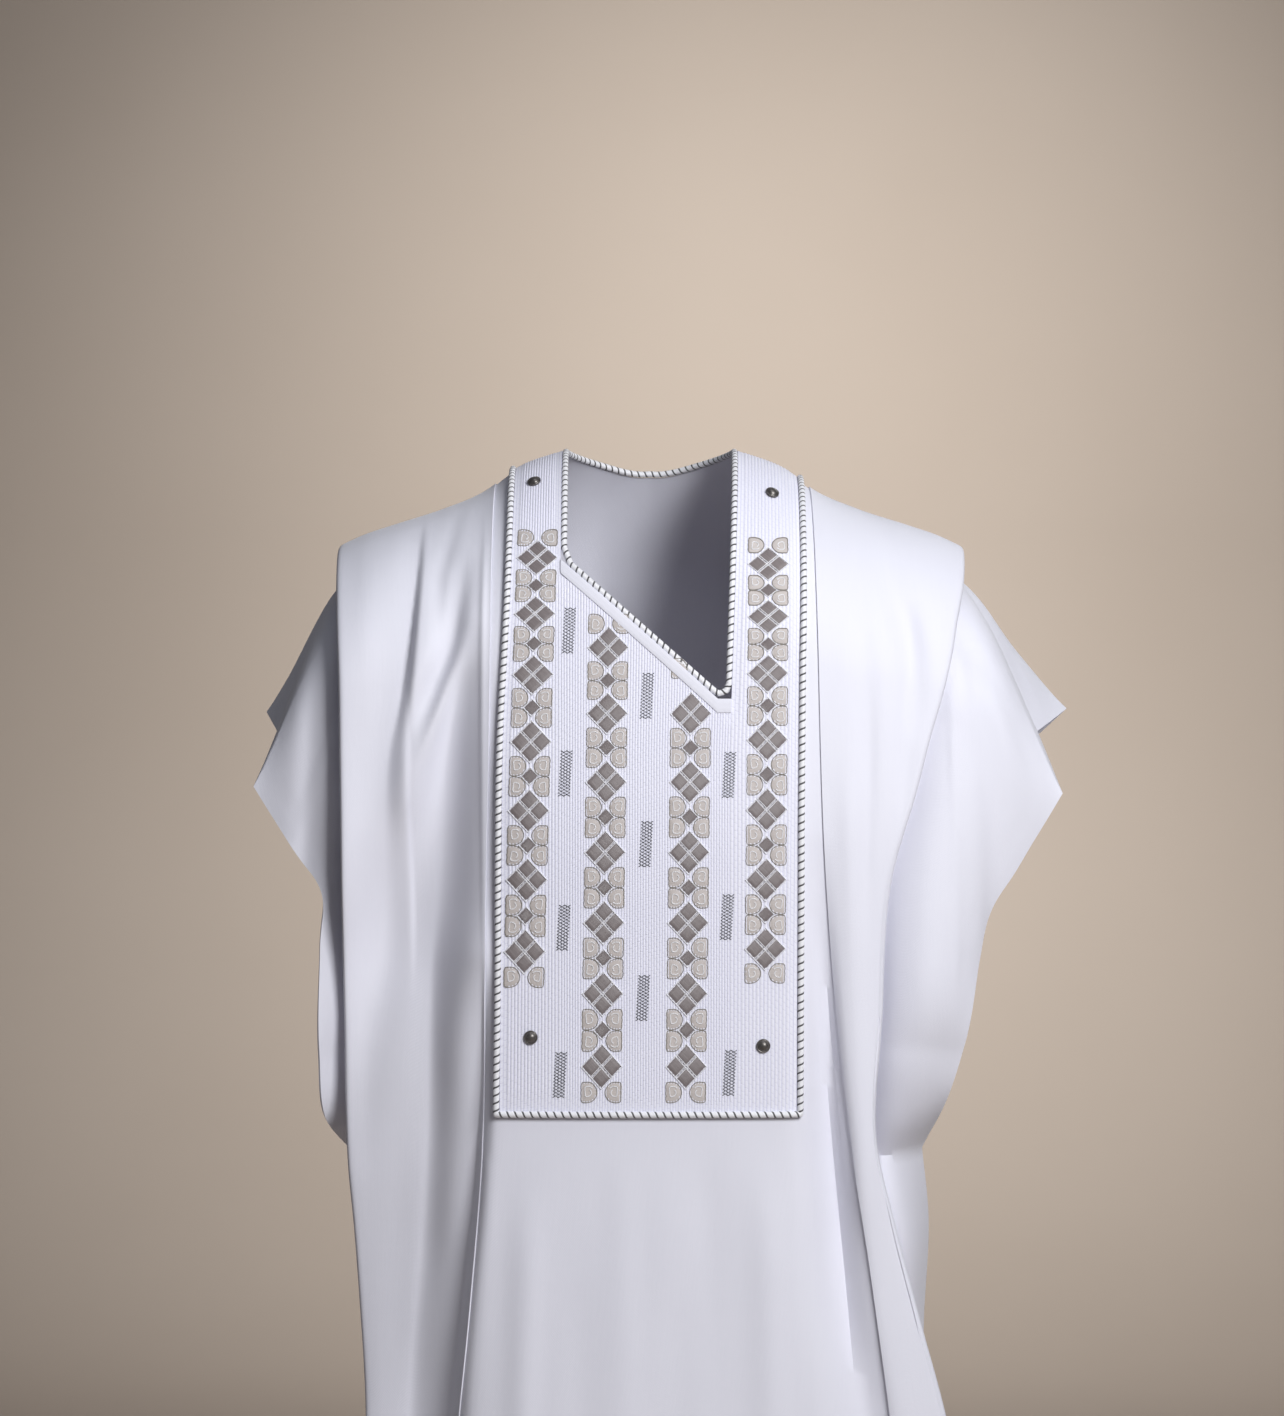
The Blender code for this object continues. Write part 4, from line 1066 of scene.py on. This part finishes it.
def couched(name, x, drop, width, height, material, closed=False):
    """Many threads laid on the yoke in one mesh. x and drop are arrays of thread and point; each is
    carried along its path as a half-round of that width and height, and its ends are closed."""
    count, length = x.shape
    if closed:
        x, drop = (np.concatenate([a[:, -1:], a, a[:, :1]], axis=1) for a in (x, drop))
    else:
        ends = ((2 * a[:, :1] - a[:, 1:2], a, 2 * a[:, -1:] - a[:, -2:-1]) for a in (x, drop))
        x, drop = (np.concatenate(parts, axis=1) for parts in ends)
    along_x, along_drop = x[:, 2:] - x[:, :-2], drop[:, 2:] - drop[:, :-2]
    reach = np.hypot(along_x, along_drop)
    side_x, side_drop = along_drop / reach, -along_x / reach
    x, drop = x[:, 1:-1], drop[:, 1:-1]
    angle = np.linspace(0, math.pi, 4)
    across = np.append(np.cos(angle), [-1.0, 1.0]) * width / 2
    up = np.append(np.sin(angle) * height, [-THREAD_SUNK, -THREAD_SUNK])
    around = len(across)
    ring_x = x[..., None] + side_x[..., None] * across
    ring_drop = drop[..., None] + side_drop[..., None] * across
    vertices = on_yoke(ring_x, ring_drop, np.broadcast_to(up, ring_x.shape))
    index = np.arange(length * around).reshape(length, around)
    if closed:
        index = np.concatenate([index, index[:1]])
    cells = quads(np.concatenate([index, index[:, :1]], axis=1), turned=True).reshape(-1, 4)
    if not closed:
        first, last = index[0], index[-1]
        caps = [first[[0, 5, 4, 3]], first[[0, 3, 2, 1]], last[[3, 4, 5, 0]], last[[1, 2, 3, 0]]]
        cells = np.concatenate([cells, caps])
    starts = np.arange(count)[:, None, None] * length * around
    faces = (cells + starts).reshape(-1, 4).tolist()
    along = run(on_yoke(x, drop, np.zeros(x.shape)), 1)[..., None]
    flat = np.stack(np.broadcast_arrays(along, np.arange(around) / around), axis=-1)
    return new_piece(name, vertices, faces, material, flat)


def satin(name, dark, light, gloss):
    """Satin stitch: parallel threads along the piece's u, with a silky shine."""
    made, shader, wire = new_material(name, gloss, sheen=0.1)
    uv = wire.node("UVMap", uv_map="cloth")
    across = wire.node("SeparateXYZ", {0: uv}, output=1)
    threads = (across * (2 * math.pi / THREAD_PITCH)).maths("SINE")
    strands = noise(wire.node("Mapping", {"Vector": uv, "Scale": (60, 1400, 1)}), 1.0, 2.0)
    join(shader, "Base Color", blend(wire, strands, dark, light))
    join(shader, "Roughness", gloss - 0.1 + strands * 0.2)
    bump(shader, threads * 0.5 + strands * 0.6, 0.5, 0.0002)
    return made


taupe = satin("taupe satin stitch", (0.140, 0.115, 0.118), (0.285, 0.250, 0.250), 0.40)
cream = satin("cream satin stitch", (0.50, 0.45, 0.43), (0.66, 0.61, 0.59), 0.5)
beige = satin("beige outline thread", (0.22, 0.195, 0.17), (0.40, 0.37, 0.33), 0.5)
white_thread = satin("white outline thread", (0.84, 0.84, 0.88), (0.95, 0.95, 0.97), 0.45)
grey_thread = satin("grey zigzag thread", (0.025, 0.025, 0.03), (0.075, 0.075, 0.082), 0.5)

# The columns of motifs: x at an upper and at a lower drop, whether curled squares stand above the
# first lozenge too, and the lozenges' drops, which come closer together where the yoke slopes back
UPPER, LOWER = 0.1, 0.5
MOTIF_COLUMNS = [
    (-0.0950, -0.1066, True, [0.0980, 0.1450, 0.1954, 0.2513, 0.3086, 0.3659, 0.4258]),
    (-0.0340, -0.0403, True, [0.1730, 0.2277, 0.2848, 0.3430, 0.4015, 0.4607, 0.5213]),
    (0.0352, 0.0299, False, [0.2280, 0.2845, 0.3431, 0.4016, 0.4607, 0.5213]),
    (0.0986, 0.0945, True, [0.1033, 0.1473, 0.1943, 0.2496, 0.3077, 0.3659, 0.4234]),
]
LOZENGE = (0.0160, 0.292)  # half its width, in metres, and half its height, in steps of the column
SMALL = (0.0064, 0.112)
SPLIT = 0.02  # half the gap between its four parts
SQUARE = (0.0162, 0.286)  # the outer corner of a curled square, from the small lozenge's middle
TOP_STEP = 0.002  # how much further the squares above the first lozenge are moved up
DOME = 6  # how flat a patch is: the power with which it falls off to its edges
PATCH_EDGE, PATCH_CROWN = 0.0003, 0.0006
PATCH_REACH = 0.0115  # half a patch's size on the flat cloth


def motif_place(column, across, station):
    """x and drop of a place on a column of motifs: across from its middle, in metres, at a station
    counted in lozenges down the column, with steps of the end ones carried on past them."""
    x_upper, x_lower, _, drops = MOTIF_COLUMNS[column]
    stations = np.arange(-1, len(drops) + 1)
    drops = np.array([2 * drops[0] - drops[1] - TOP_STEP, *drops, 2 * drops[-1] - drops[-2]])
    drop = read({"station": stations, "drop": drops}, "drop", station)
    return x_upper + (x_lower - x_upper) * (drop - UPPER) / (LOWER - UPPER) + across, drop


def many_places(columns, across, stations):
    """motif_place for arrays whose first axis is the motif."""
    x, drop = np.empty(across.shape), np.empty(across.shape)
    for column in range(len(MOTIF_COLUMNS)):
        chosen = columns == column
        x[chosen], drop[chosen] = motif_place(column, across[chosen], stations[chosen])
    return x, drop


# Each taupe patch: its column and station, its middle and half its size in shares of the lozenge's
# two slanting directions, and the lozenge's half width and half height
patches = []
for column, (*_, drops) in enumerate(MOTIF_COLUMNS):
    for station in range(len(drops)):
        for p, q in ((-1, -1), (-1, 1), (1, -1), (1, 1)):
            middle = p * (1 + SPLIT) / 2, q * (1 + SPLIT) / 2
            patches.append((column, station, *middle, (1 - SPLIT) / 2, *LOZENGE))
        if station + 1 < len(drops):
            patches.append((column, station + 0.5, 0, 0, 1, *SMALL))
patches = np.array(patches)
side = np.linspace(-1, 1, 8)
station, p, q, half, width, height = patches[:, 1:].T[..., None, None]
p, q = np.broadcast_arrays(p + half * side[:, None], q + half * side[None, :])
stations = station + (p - q) / 2 * height
x, drop = many_places(patches[:, 0].astype(int), (p + q) / 2 * width, stations)
dome = (1 - np.abs(side[:, None]) ** DOME) * (1 - np.abs(side[None, :]) ** DOME)
rise = np.broadcast_to(PATCH_EDGE + PATCH_CROWN * np.sqrt(dome), x.shape)
flat = np.stack([p, q], axis=-1) * PATCH_REACH
lozenges = pads("embroidered_lozenges", x, drop, rise, taupe, flat)

# White threads: a pair along each split of a lozenge and four round it, and four round a small one.
# Each runs along one slanting direction, at a place across the other
PAIR = (-0.08, 0.08)
AROUND_LOZENGE, AROUND_SMALL = (-1.06, 1.06), (-1.14, 1.14)
REACH = 1.04  # of a thread along a split; those round a lozenge go on to the next corner
SMALL_REACH = REACH * 1.12
threads = []
for column, (*_, drops) in enumerate(MOTIF_COLUMNS):
    for station in range(len(drops)):
        kinds = [(station, PAIR, REACH, LOZENGE), (station, AROUND_LOZENGE, REACH * REACH, LOZENGE)]
        if station + 1 < len(drops):
            kinds.append((station + 0.5, AROUND_SMALL, SMALL_REACH, SMALL))
        for place, shifts, reach, size in kinds:
            for shift in shifts:
                threads.append((column, place, reach, 0, 0, shift, *size))
                threads.append((column, place, 0, shift, reach, 0, *size))
threads = np.array(threads)
station, p_reach, p_shift, q_reach, q_shift, width, height = threads[:, 1:].T[..., None]
along = np.linspace(-1, 1, 9)
p, q = p_reach * along + p_shift, q_reach * along + q_shift
stations = station + (p - q) / 2 * height
x, drop = many_places(threads[:, 0].astype(int), (p + q) / 2 * width, stations)
outlines = couched("lozenge_outlines", x, drop, 0.0009, 0.0011, white_thread)

# Curled squares: an outline through these corners, in shares of the outer corner, with a cream pad
# inside it and a white thread that curls in to its middle
CURL_CORNERS = np.array([
    (0.92, 0.03), (0.99, 0.06), (1.00, 0.34), (1.00, 0.62), (1.00, 0.93), (0.97, 0.99),
    (0.80, 1.00), (0.60, 1.00), (0.50, 0.97), (0.38, 0.87), (0.27, 0.72), (0.21, 0.55),
    (0.23, 0.38), (0.31, 0.22), (0.44, 0.10), (0.62, 0.04), (0.80, 0.02),
])
CURL_MIDDLE = np.array([0.64, 0.53])


def curl_outline(angle):
    """Distance of a curled square's outline from its middle, by angle."""
    corners = CURL_CORNERS - CURL_MIDDLE
    around = np.arctan2(corners[:, 1], corners[:, 0])
    order = np.argsort(around)
    reach = np.hypot(corners[:, 0], corners[:, 1])[order]
    return np.interp(angle, around[order], reach, period=2 * math.pi)


# Each square: its column and station, and which way its outer corner points across and down
squares = []
for column, (*_, above, drops) in enumerate(MOTIF_COLUMNS):
    for number in range(len(drops)):
        for hand in (-1, 1):
            if number > 0 or above:
                squares.append((column, number - 0.5, hand, 1))
            squares.append((column, number + 0.5, hand, -1))
squares.append((2, -0.5, -1, -1))  # one stands alone, where the neck cuts its neighbours off
squares = np.array(squares)


def curl_places(angle, radius):
    """x and drop of places in every square, by angle and distance from its middle, in shares of its
    outer corner."""
    column, station, hand, way = squares.T.reshape(4, -1, *(1,) * angle.ndim)
    right = CURL_MIDDLE[0] + radius * np.cos(angle)
    down = CURL_MIDDLE[1] + radius * np.sin(angle)
    places = hand * right * SQUARE[0], station + way * down * SQUARE[1]
    return many_places(column.ravel().astype(int), *places)


FILL = 0.93  # how much of the outline the pad fills
FILL_EDGE, FILL_CROWN = 0.0002, 0.0004
FILL_REACH = 0.006  # half a pad's size on the flat cloth
HOOK_START, HOOK_TURN = 0.75, 2.1  # angle at which a hook starts, and through which it curls in
HOOK_OUTER, HOOK_CURL = 0.62, 0.36  # how far out it starts, and how much nearer in it ends

s, t = np.meshgrid(np.linspace(-1, 1, 9), np.linspace(-1, 1, 9))
reach = np.maximum(np.abs(s), np.abs(t))
angle = np.arctan2(t, s)
x, drop = curl_places(angle, curl_outline(angle) * reach * FILL)
rise = np.broadcast_to(FILL_EDGE + FILL_CROWN * np.sqrt(1 - reach**4), x.shape)
flat = np.broadcast_to(np.stack([s, t], axis=-1) * FILL_REACH, (*x.shape, 2))
fills = pads("curled_square_fills", x, drop, rise, cream, flat)

angle = np.linspace(-math.pi, math.pi, 41)[:-1]
x, drop = curl_places(angle, curl_outline(angle))
edges = couched("curled_square_edges", x, drop, 0.0009, 0.0008, beige, closed=True)

curl = np.linspace(0, 1, 26)
angle = math.pi * (HOOK_START - HOOK_TURN * curl)
x, drop = curl_places(angle, curl_outline(angle) * (HOOK_OUTER - HOOK_CURL * curl))
hooks = couched("curled_square_hooks", x, drop, 0.0012, 0.0012, white_thread)

# Bars of netting: zigzag threads side by side that meet at their points; x and drop of each middle
BARS = np.array([
    (-0.0678, 0.1588), (-0.0706, 0.2774), (-0.0722, 0.4055), (-0.0752, 0.5282),
    (-0.0028, 0.2130), (-0.0037, 0.3359), (-0.0062, 0.4640),
    (0.0653, 0.2787), (0.0636, 0.3967), (0.0658, 0.5265),
])
BAR_HALF = 0.0188  # half a bar's length, and how far its ends lean across from its middle
BAR_LEAN = -0.0012
TEETH = 14
TOOTH = 0.00115  # how far a zigzag thread swings to each side
BAR_THREADS = np.array([(-0.0036, 1), (-0.0012, -1), (0.0012, 1), (0.0036, -1)])  # place and hand
turns = np.arange(2 * TEETH + 1)
zigzag = np.where(turns % 2 == 0, -TOOTH, TOOTH)
down = turns / TEETH - 1
middle_x, middle_drop = np.repeat(BARS, len(BAR_THREADS), axis=0).T[..., None]
place, hand = np.tile(BAR_THREADS, (len(BARS), 1)).T[..., None]
x = middle_x + place + hand * zigzag + down * BAR_LEAN
drop = middle_drop + down * BAR_HALF
bars = couched("zigzag_bars", x, drop, 0.0009, 0.0008, grey_thread)
for piece in (lozenges, outlines, fills, edges, hooks, bars):
    piece.parent = yoke


# ------------------------------------------------------------------ the piping
# Cord of two white strands and a dark grey one, twisted together and sewn along the neck opening
# and down and under the yoke. The neck cord is a closed loop; the yoke's ends in the shoulder seam.

TWIST = 0.0065  # length of one full turn
STRANDS = 3
VALLEY = 0.16  # how far the valleys between strands lie in, as a share of the radius
ROUNDING = 0.7  # power that rounds the strands
TIP = 0.02  # how thin a cut end gets, before the root is taken
RING_STEP = 0.0007
AROUND = 16


def even(path, step, closed):
    """Points at even steps along a path, each from the straight stretch that it falls on."""
    if closed:
        path = np.concatenate([path, path[:1]])
    lengths = np.concatenate([[0], np.cumsum(np.linalg.norm(np.diff(path, axis=0), axis=1))])
    at = np.linspace(0, lengths[-1], int(lengths[-1] / step) + 1)
    return np.stack([np.interp(at, lengths, path[:, i]) for i in range(3)], axis=-1), at


def twisted_cord(name, path, closed):
    """Three strands twisted: a ring whose radius has three lobes, turned as it goes along the path.
    The attribute strand is 1 in the middle of the dark strand and less to both sides."""
    path, at = even(path, RING_STEP, closed)
    turns = round(at[-1] / TWIST) if closed else at[-1] / TWIST
    if closed:
        path, at = path[:-1], at[:-1]
        tangent = np.roll(path, -2, axis=0) - np.roll(path, 2, axis=0)
    else:
        tangent = np.gradient(path, axis=0)
    tangent /= np.linalg.norm(tangent, axis=1, keepdims=True)
    outward = path * [1, 1, 0]
    outward -= tangent * np.sum(outward * tangent, axis=1, keepdims=True)
    outward /= np.linalg.norm(outward, axis=1, keepdims=True)
    beside = np.cross(tangent, outward)
    angle = np.arange(AROUND) * 2 * math.pi / AROUND
    phase = at * 2 * math.pi * turns / (at[-1] + (RING_STEP if closed else 0))
    strand = angle[None, :] - phase[:, None]
    radius = CORD * (1 - VALLEY + VALLEY * np.abs(np.cos(strand * STRANDS / 2)) ** ROUNDING)
    if not closed:
        radius *= np.sqrt(np.clip(np.minimum(at, at[-1] - at) / CORD, TIP, 1))[:, None]
    ring = np.cos(angle)[:, None] * outward[:, None] + np.sin(angle)[:, None] * beside[:, None]
    vertices = path[:, None] + ring * radius[..., None]
    index = np.arange(len(path) * AROUND).reshape(len(path), AROUND)
    index = np.concatenate([index, index[:, :1]], axis=1)
    if closed:
        index = np.concatenate([index, index[:1]])
    cells = quads(index, turned=True).reshape(-1, 4)
    if not closed:
        cap = np.array([(0, i, i + 1, i + 2) for i in range(1, AROUND - 2, 2)])
        cells = np.concatenate([cells, index[0][cap[:, ::-1]], index[-1][cap]])
    piece = new_piece(name, vertices, cells.tolist(), cord_cloth, smooth_angle=80)
    mark = piece.data.attributes.new("strand", "FLOAT", "POINT")
    mark.data.foreach_set("value", np.cos(strand).astype(np.float32).ravel())
    return piece


cord_cloth, shader, wire = new_material("twisted two-colour cord", 0.5, sheen=0.2)
strand = wire.node("Attribute", {}, output=2, attribute_name="strand")
dark = smooth_step(strand, 0.62, 0.80, 0.0, 1.0)
fibres = noise(wire.node("TexCoord", output=3), 1500.0, 2.0)
white = blend(wire, fibres, (0.80, 0.80, 0.84), (0.93, 0.93, 0.96))
grey = blend(wire, fibres, (0.03, 0.03, 0.035), (0.11, 0.105, 0.11))
join(shader, "Base Color", blend(wire, dark, white, grey))
join(shader, "Roughness", 0.42 + fibres * 0.2)
bump(shader, fibres, 0.5, 0.0003)

# The neck cord's path: down the right edge, along the diagonal, round the foot's corner, up the
# left edge and round the back. It cuts each corner a little
NECK_TOP = 0.004  # drop at which the front's upright edges start
SLANT_START = 0.088  # drop at which the right one ends, short of the diagonal
SLANT_ENDS = (0.04, 0.90)  # between which shares of the opening's width it follows the diagonal
FOOT_CORNER = np.array([(0.0085, 0.0001), (0.0025, 0.0020)])  # in from the left edge, up from foot
FOOT_END = 0.008  # how far above the foot the left edge starts
clear = (CORD_CLEAR + 2 * GAP) / math.cos(math.atan2(SLANT_DROP, SLANT_SHARE * 2 * NECK_WIDTH))
slant_right, slant_left = neck_edge(SLANT_TOP)[0], neck_edge(NECK_FOOT)[1]
opening = slant_left - slant_right
down = np.linspace(NECK_TOP, SLANT_START, 30)
slant_x = slant_right + CORD_CLEAR + (opening - 2 * CORD_CLEAR) * np.linspace(*SLANT_ENDS, 60)
slant_drop = neck_foot((slant_x - slant_right) / opening) - clear
foot_x = slant_left - CORD_CLEAR - FOOT_CORNER[:, 0]
up = np.linspace(NECK_FOOT - FOOT_END, NECK_TOP, 60)
right_x, left_x = neck_edge(down)[0] + CORD_CLEAR, neck_edge(up)[1] - CORD_CLEAR
x = np.concatenate([right_x, slant_x, foot_x, left_x])
drop = np.concatenate([down, slant_drop, NECK_FOOT - FOOT_CORNER[:, 1], up])
neck_front = front_surface(x, drop)
turn = np.linspace(0, math.pi, 61)
back_x = NECK_WIDTH * np.cos(turn)
row = np.arcsin(NECK_BACK * np.sin(turn) / BODY["back"][0]) * 2 / math.pi
back_drop = row_drop(np.abs(back_x), row, BACK, 0)
neck_back = points(back_x, body_depth(back_x, back_drop, row, BACK, 0), back_drop, BACK)
neck_cord = twisted_cord("neck_cord", np.concatenate([neck_front, neck_back]), closed=True)
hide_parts("neck_piping")

# The yoke cord's path: down one side from the shoulder seam, under the yoke and up the other side
foot = YOKE_DEPTH + CORD_CLEAR
side_lines = []
for name, hand in (("right", -1), ("left", 1)):
    crown = row_drop(PIPING_LINE[name][0], 0.0, FRONT, 0)
    side_drop = np.linspace(crown, foot, 160)
    side_lines.append((hand * read(PIPING_LINE, name, side_drop), side_drop))
(right_x, right_drop), (left_x, left_drop) = side_lines
foot_x = np.linspace(right_x[-1], left_x[-1], 80)[1:-1]
x = np.concatenate([right_x, foot_x, left_x[::-1]])
drop = np.concatenate([right_drop, np.full(len(foot_x), foot), left_drop[::-1]])
yoke_line = on_yoke(x, drop, np.full(x.shape, CORD + GAP - YOKE_FACE))
yoke_cord = twisted_cord("yoke_cord", yoke_line, closed=False)
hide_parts("yoke_piping")


# ------------------------------------------------------------------ the studs
# Four small domed studs of dark pewter, one near each corner of the yoke, each with a thin rim and
# pushed through the cloth.

STUDS = [(-0.0983, 0.0320), (0.1030, 0.0420), (-0.0994, 0.4970), (0.0938, 0.5040)]
STUD_LIFT = 0.0033  # from the front's centre surface to the profile's zero
SPOT = 0.002  # how far apart the places are that give the cloth's slant under a stud
STUD_PROFILE = table(
    "out up",
    (0.0000, 0.0034),
    (0.0012, 0.0033),
    (0.0024, 0.0029),
    (0.0034, 0.0023),
    (0.0042, 0.0015),
    (0.0046, 0.0009),
    (0.0049, 0.0008),
    (0.0052, 0.0011),
    (0.0056, 0.0010),
    (0.0058, 0.0005),
    (0.0058, -0.0006),
    (0.0000, -0.0006),
)

pewter, shader, wire = new_material("dark pewter", 0.35)
shader.inputs["Metallic"].default_value = 0.65
mottle = noise(wire.node("TexCoord", output=3), 420.0, 4.0)
join(shader, "Base Color", blend(wire, mottle, (0.085, 0.078, 0.074), (0.21, 0.195, 0.185)))
join(shader, "Roughness", 0.24 + mottle * 0.26)
bump(shader, mottle, 0.35, 0.0002)

turn = np.linspace(0, 2 * math.pi, 41)[:-1]
out, up = (STUD_PROFILE[key][:, None, None] for key in ("out", "up"))
top = (len(out) - 2) * len(turn)  # the number of the point on top, which follows the rings
index = np.arange(top).reshape(-1, len(turn))
index = np.concatenate([index, index[:, :1]], axis=1)
faces = quads(index).reshape(-1, 4).tolist()
for fan in ((index[0, :-1], index[0, 1:], top), (index[-1, 1:], index[-1, :-1], top + 1)):
    faces += np.stack(np.broadcast_arrays(*fan), axis=-1).tolist()
for number, (x, drop) in enumerate(STUDS, 1):
    spot = np.array([x, x + SPOT, x]), np.array([drop, drop, drop + SPOT])
    here, across, down = front_surface(*spot)
    normal = np.cross(down - here, across - here)
    normal /= np.linalg.norm(normal)
    right = (across - here) / np.linalg.norm(across - here)
    ring = np.cos(turn)[:, None] * right + np.sin(turn)[:, None] * np.cross(normal, right)
    rings = here + normal * STUD_LIFT + ring * out + normal * up
    vertices = np.concatenate([rings[1:-1].reshape(-1, 3), rings[0, :1], rings[-1, :1]])
    stud = new_piece(f"stud_{number}_dome", vertices, faces, pewter, smooth_angle=180)
    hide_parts(f"stud_{number}")


# ------------------------------------------------------------------ the room and the camera
# A pale seamless paper sweep, one large soft lamp in front on the wearer's left, a weak one on the
# other side, and a long lens level with the middle of the yoke.

FLOOR = -1.585
SWEEP = 1.8  # radius of the curve between the floor and the wall
WALL = 6.0  # from the robe to the wall
TOP = 9.0
NEAR_END = -7.0
HALF_WIDTH = 8
turn = np.linspace(0, math.pi / 2, 80)
depth = np.concatenate([[NEAR_END], WALL - SWEEP + SWEEP * np.sin(turn), [WALL]])
rise = np.concatenate([[0.0], SWEEP - SWEEP * np.cos(turn), [TOP]])
across = np.linspace(-HALF_WIDTH, HALF_WIDTH, 3)
vertices = np.stack(np.broadcast_arrays(across[None], depth[:, None], FLOOR + rise[:, None]), -1)
index = np.arange(len(depth) * 3).reshape(-1, 3)
faces = quads(index, turned=True).reshape(-1, 4).tolist()
backdrop = smooth_mesh("paper_sweep", vertices.reshape(-1, 3), faces)
paper, shader, wire = new_material("pale warm paper", 0.9)
clouds = noise(wire.node("TexCoord", output=3), 1.1, 4.0)
join(shader, "Base Color", blend(wire, clouds, (0.49, 0.42, 0.36), (0.54, 0.47, 0.41)))
backdrop.data.materials.append(paper)


def lamp(name, place, target, size, power, tint, spread=math.pi):
    """A square soft lamp that faces a target; its light spreads over that angle."""
    light = bpy.data.lights.new(name, "AREA")
    light.size, light.energy, light.color, light.spread = size, power, tint, spread
    made = add(name, light)
    made.location = place
    aim = np.array(target) - np.array(place)
    made.rotation_mode = "QUATERNION"
    made.rotation_quaternion = Vector(aim).to_track_quat("-Z", "Y")


lamp("key", (1.05, -2.05, 0.70), (0, 0, -0.45), 0.9, 57, (0.985, 0.99, 1.0))
lamp("fill", (-2.6, -2.6, 0.4), (0, 0, -0.5), 2.2, 2.4, (0.85, 0.91, 1.0))
lamp("top", (0.15, -1.1, 2.2), (0, 0, -0.2), 1.4, 9, (0.97, 0.98, 1.0))
lamp("paper", (0.5, 3.1, 3.5), (0.4, 6.0, 0.4), 2.7, 50, (1.0, 0.97, 0.93))
lamp("glow", (0.35, 3.3, 1.9), (0.3, 6.2, -0.6), 1.2, 29, (1.0, 0.97, 0.93), spread=1.6)
lamp("back", (1.6, 2.8, 1.3), (0, 0, -0.5), 1.4, 16, (0.97, 0.98, 1.0))

world = bpy.data.worlds.new("studio")
world.use_nodes = True
world.node_tree.nodes["Background"].inputs["Color"].default_value = (0.76, 0.82, 1.0, 1)
world.node_tree.nodes["Background"].inputs["Strength"].default_value = 0.07
bpy.context.scene.world = world
bpy.context.scene.view_settings.view_transform = "Standard"

lens = bpy.data.cameras.new("long lens")
lens.sensor_fit = "HORIZONTAL"
lens.sensor_width = 36
lens.lens = 106.4
camera = add("camera", lens)
camera.location = (-0.007, -3.3, -0.223)
camera.rotation_euler = (math.pi / 2, 0, 0)
bpy.context.scene.camera = camera
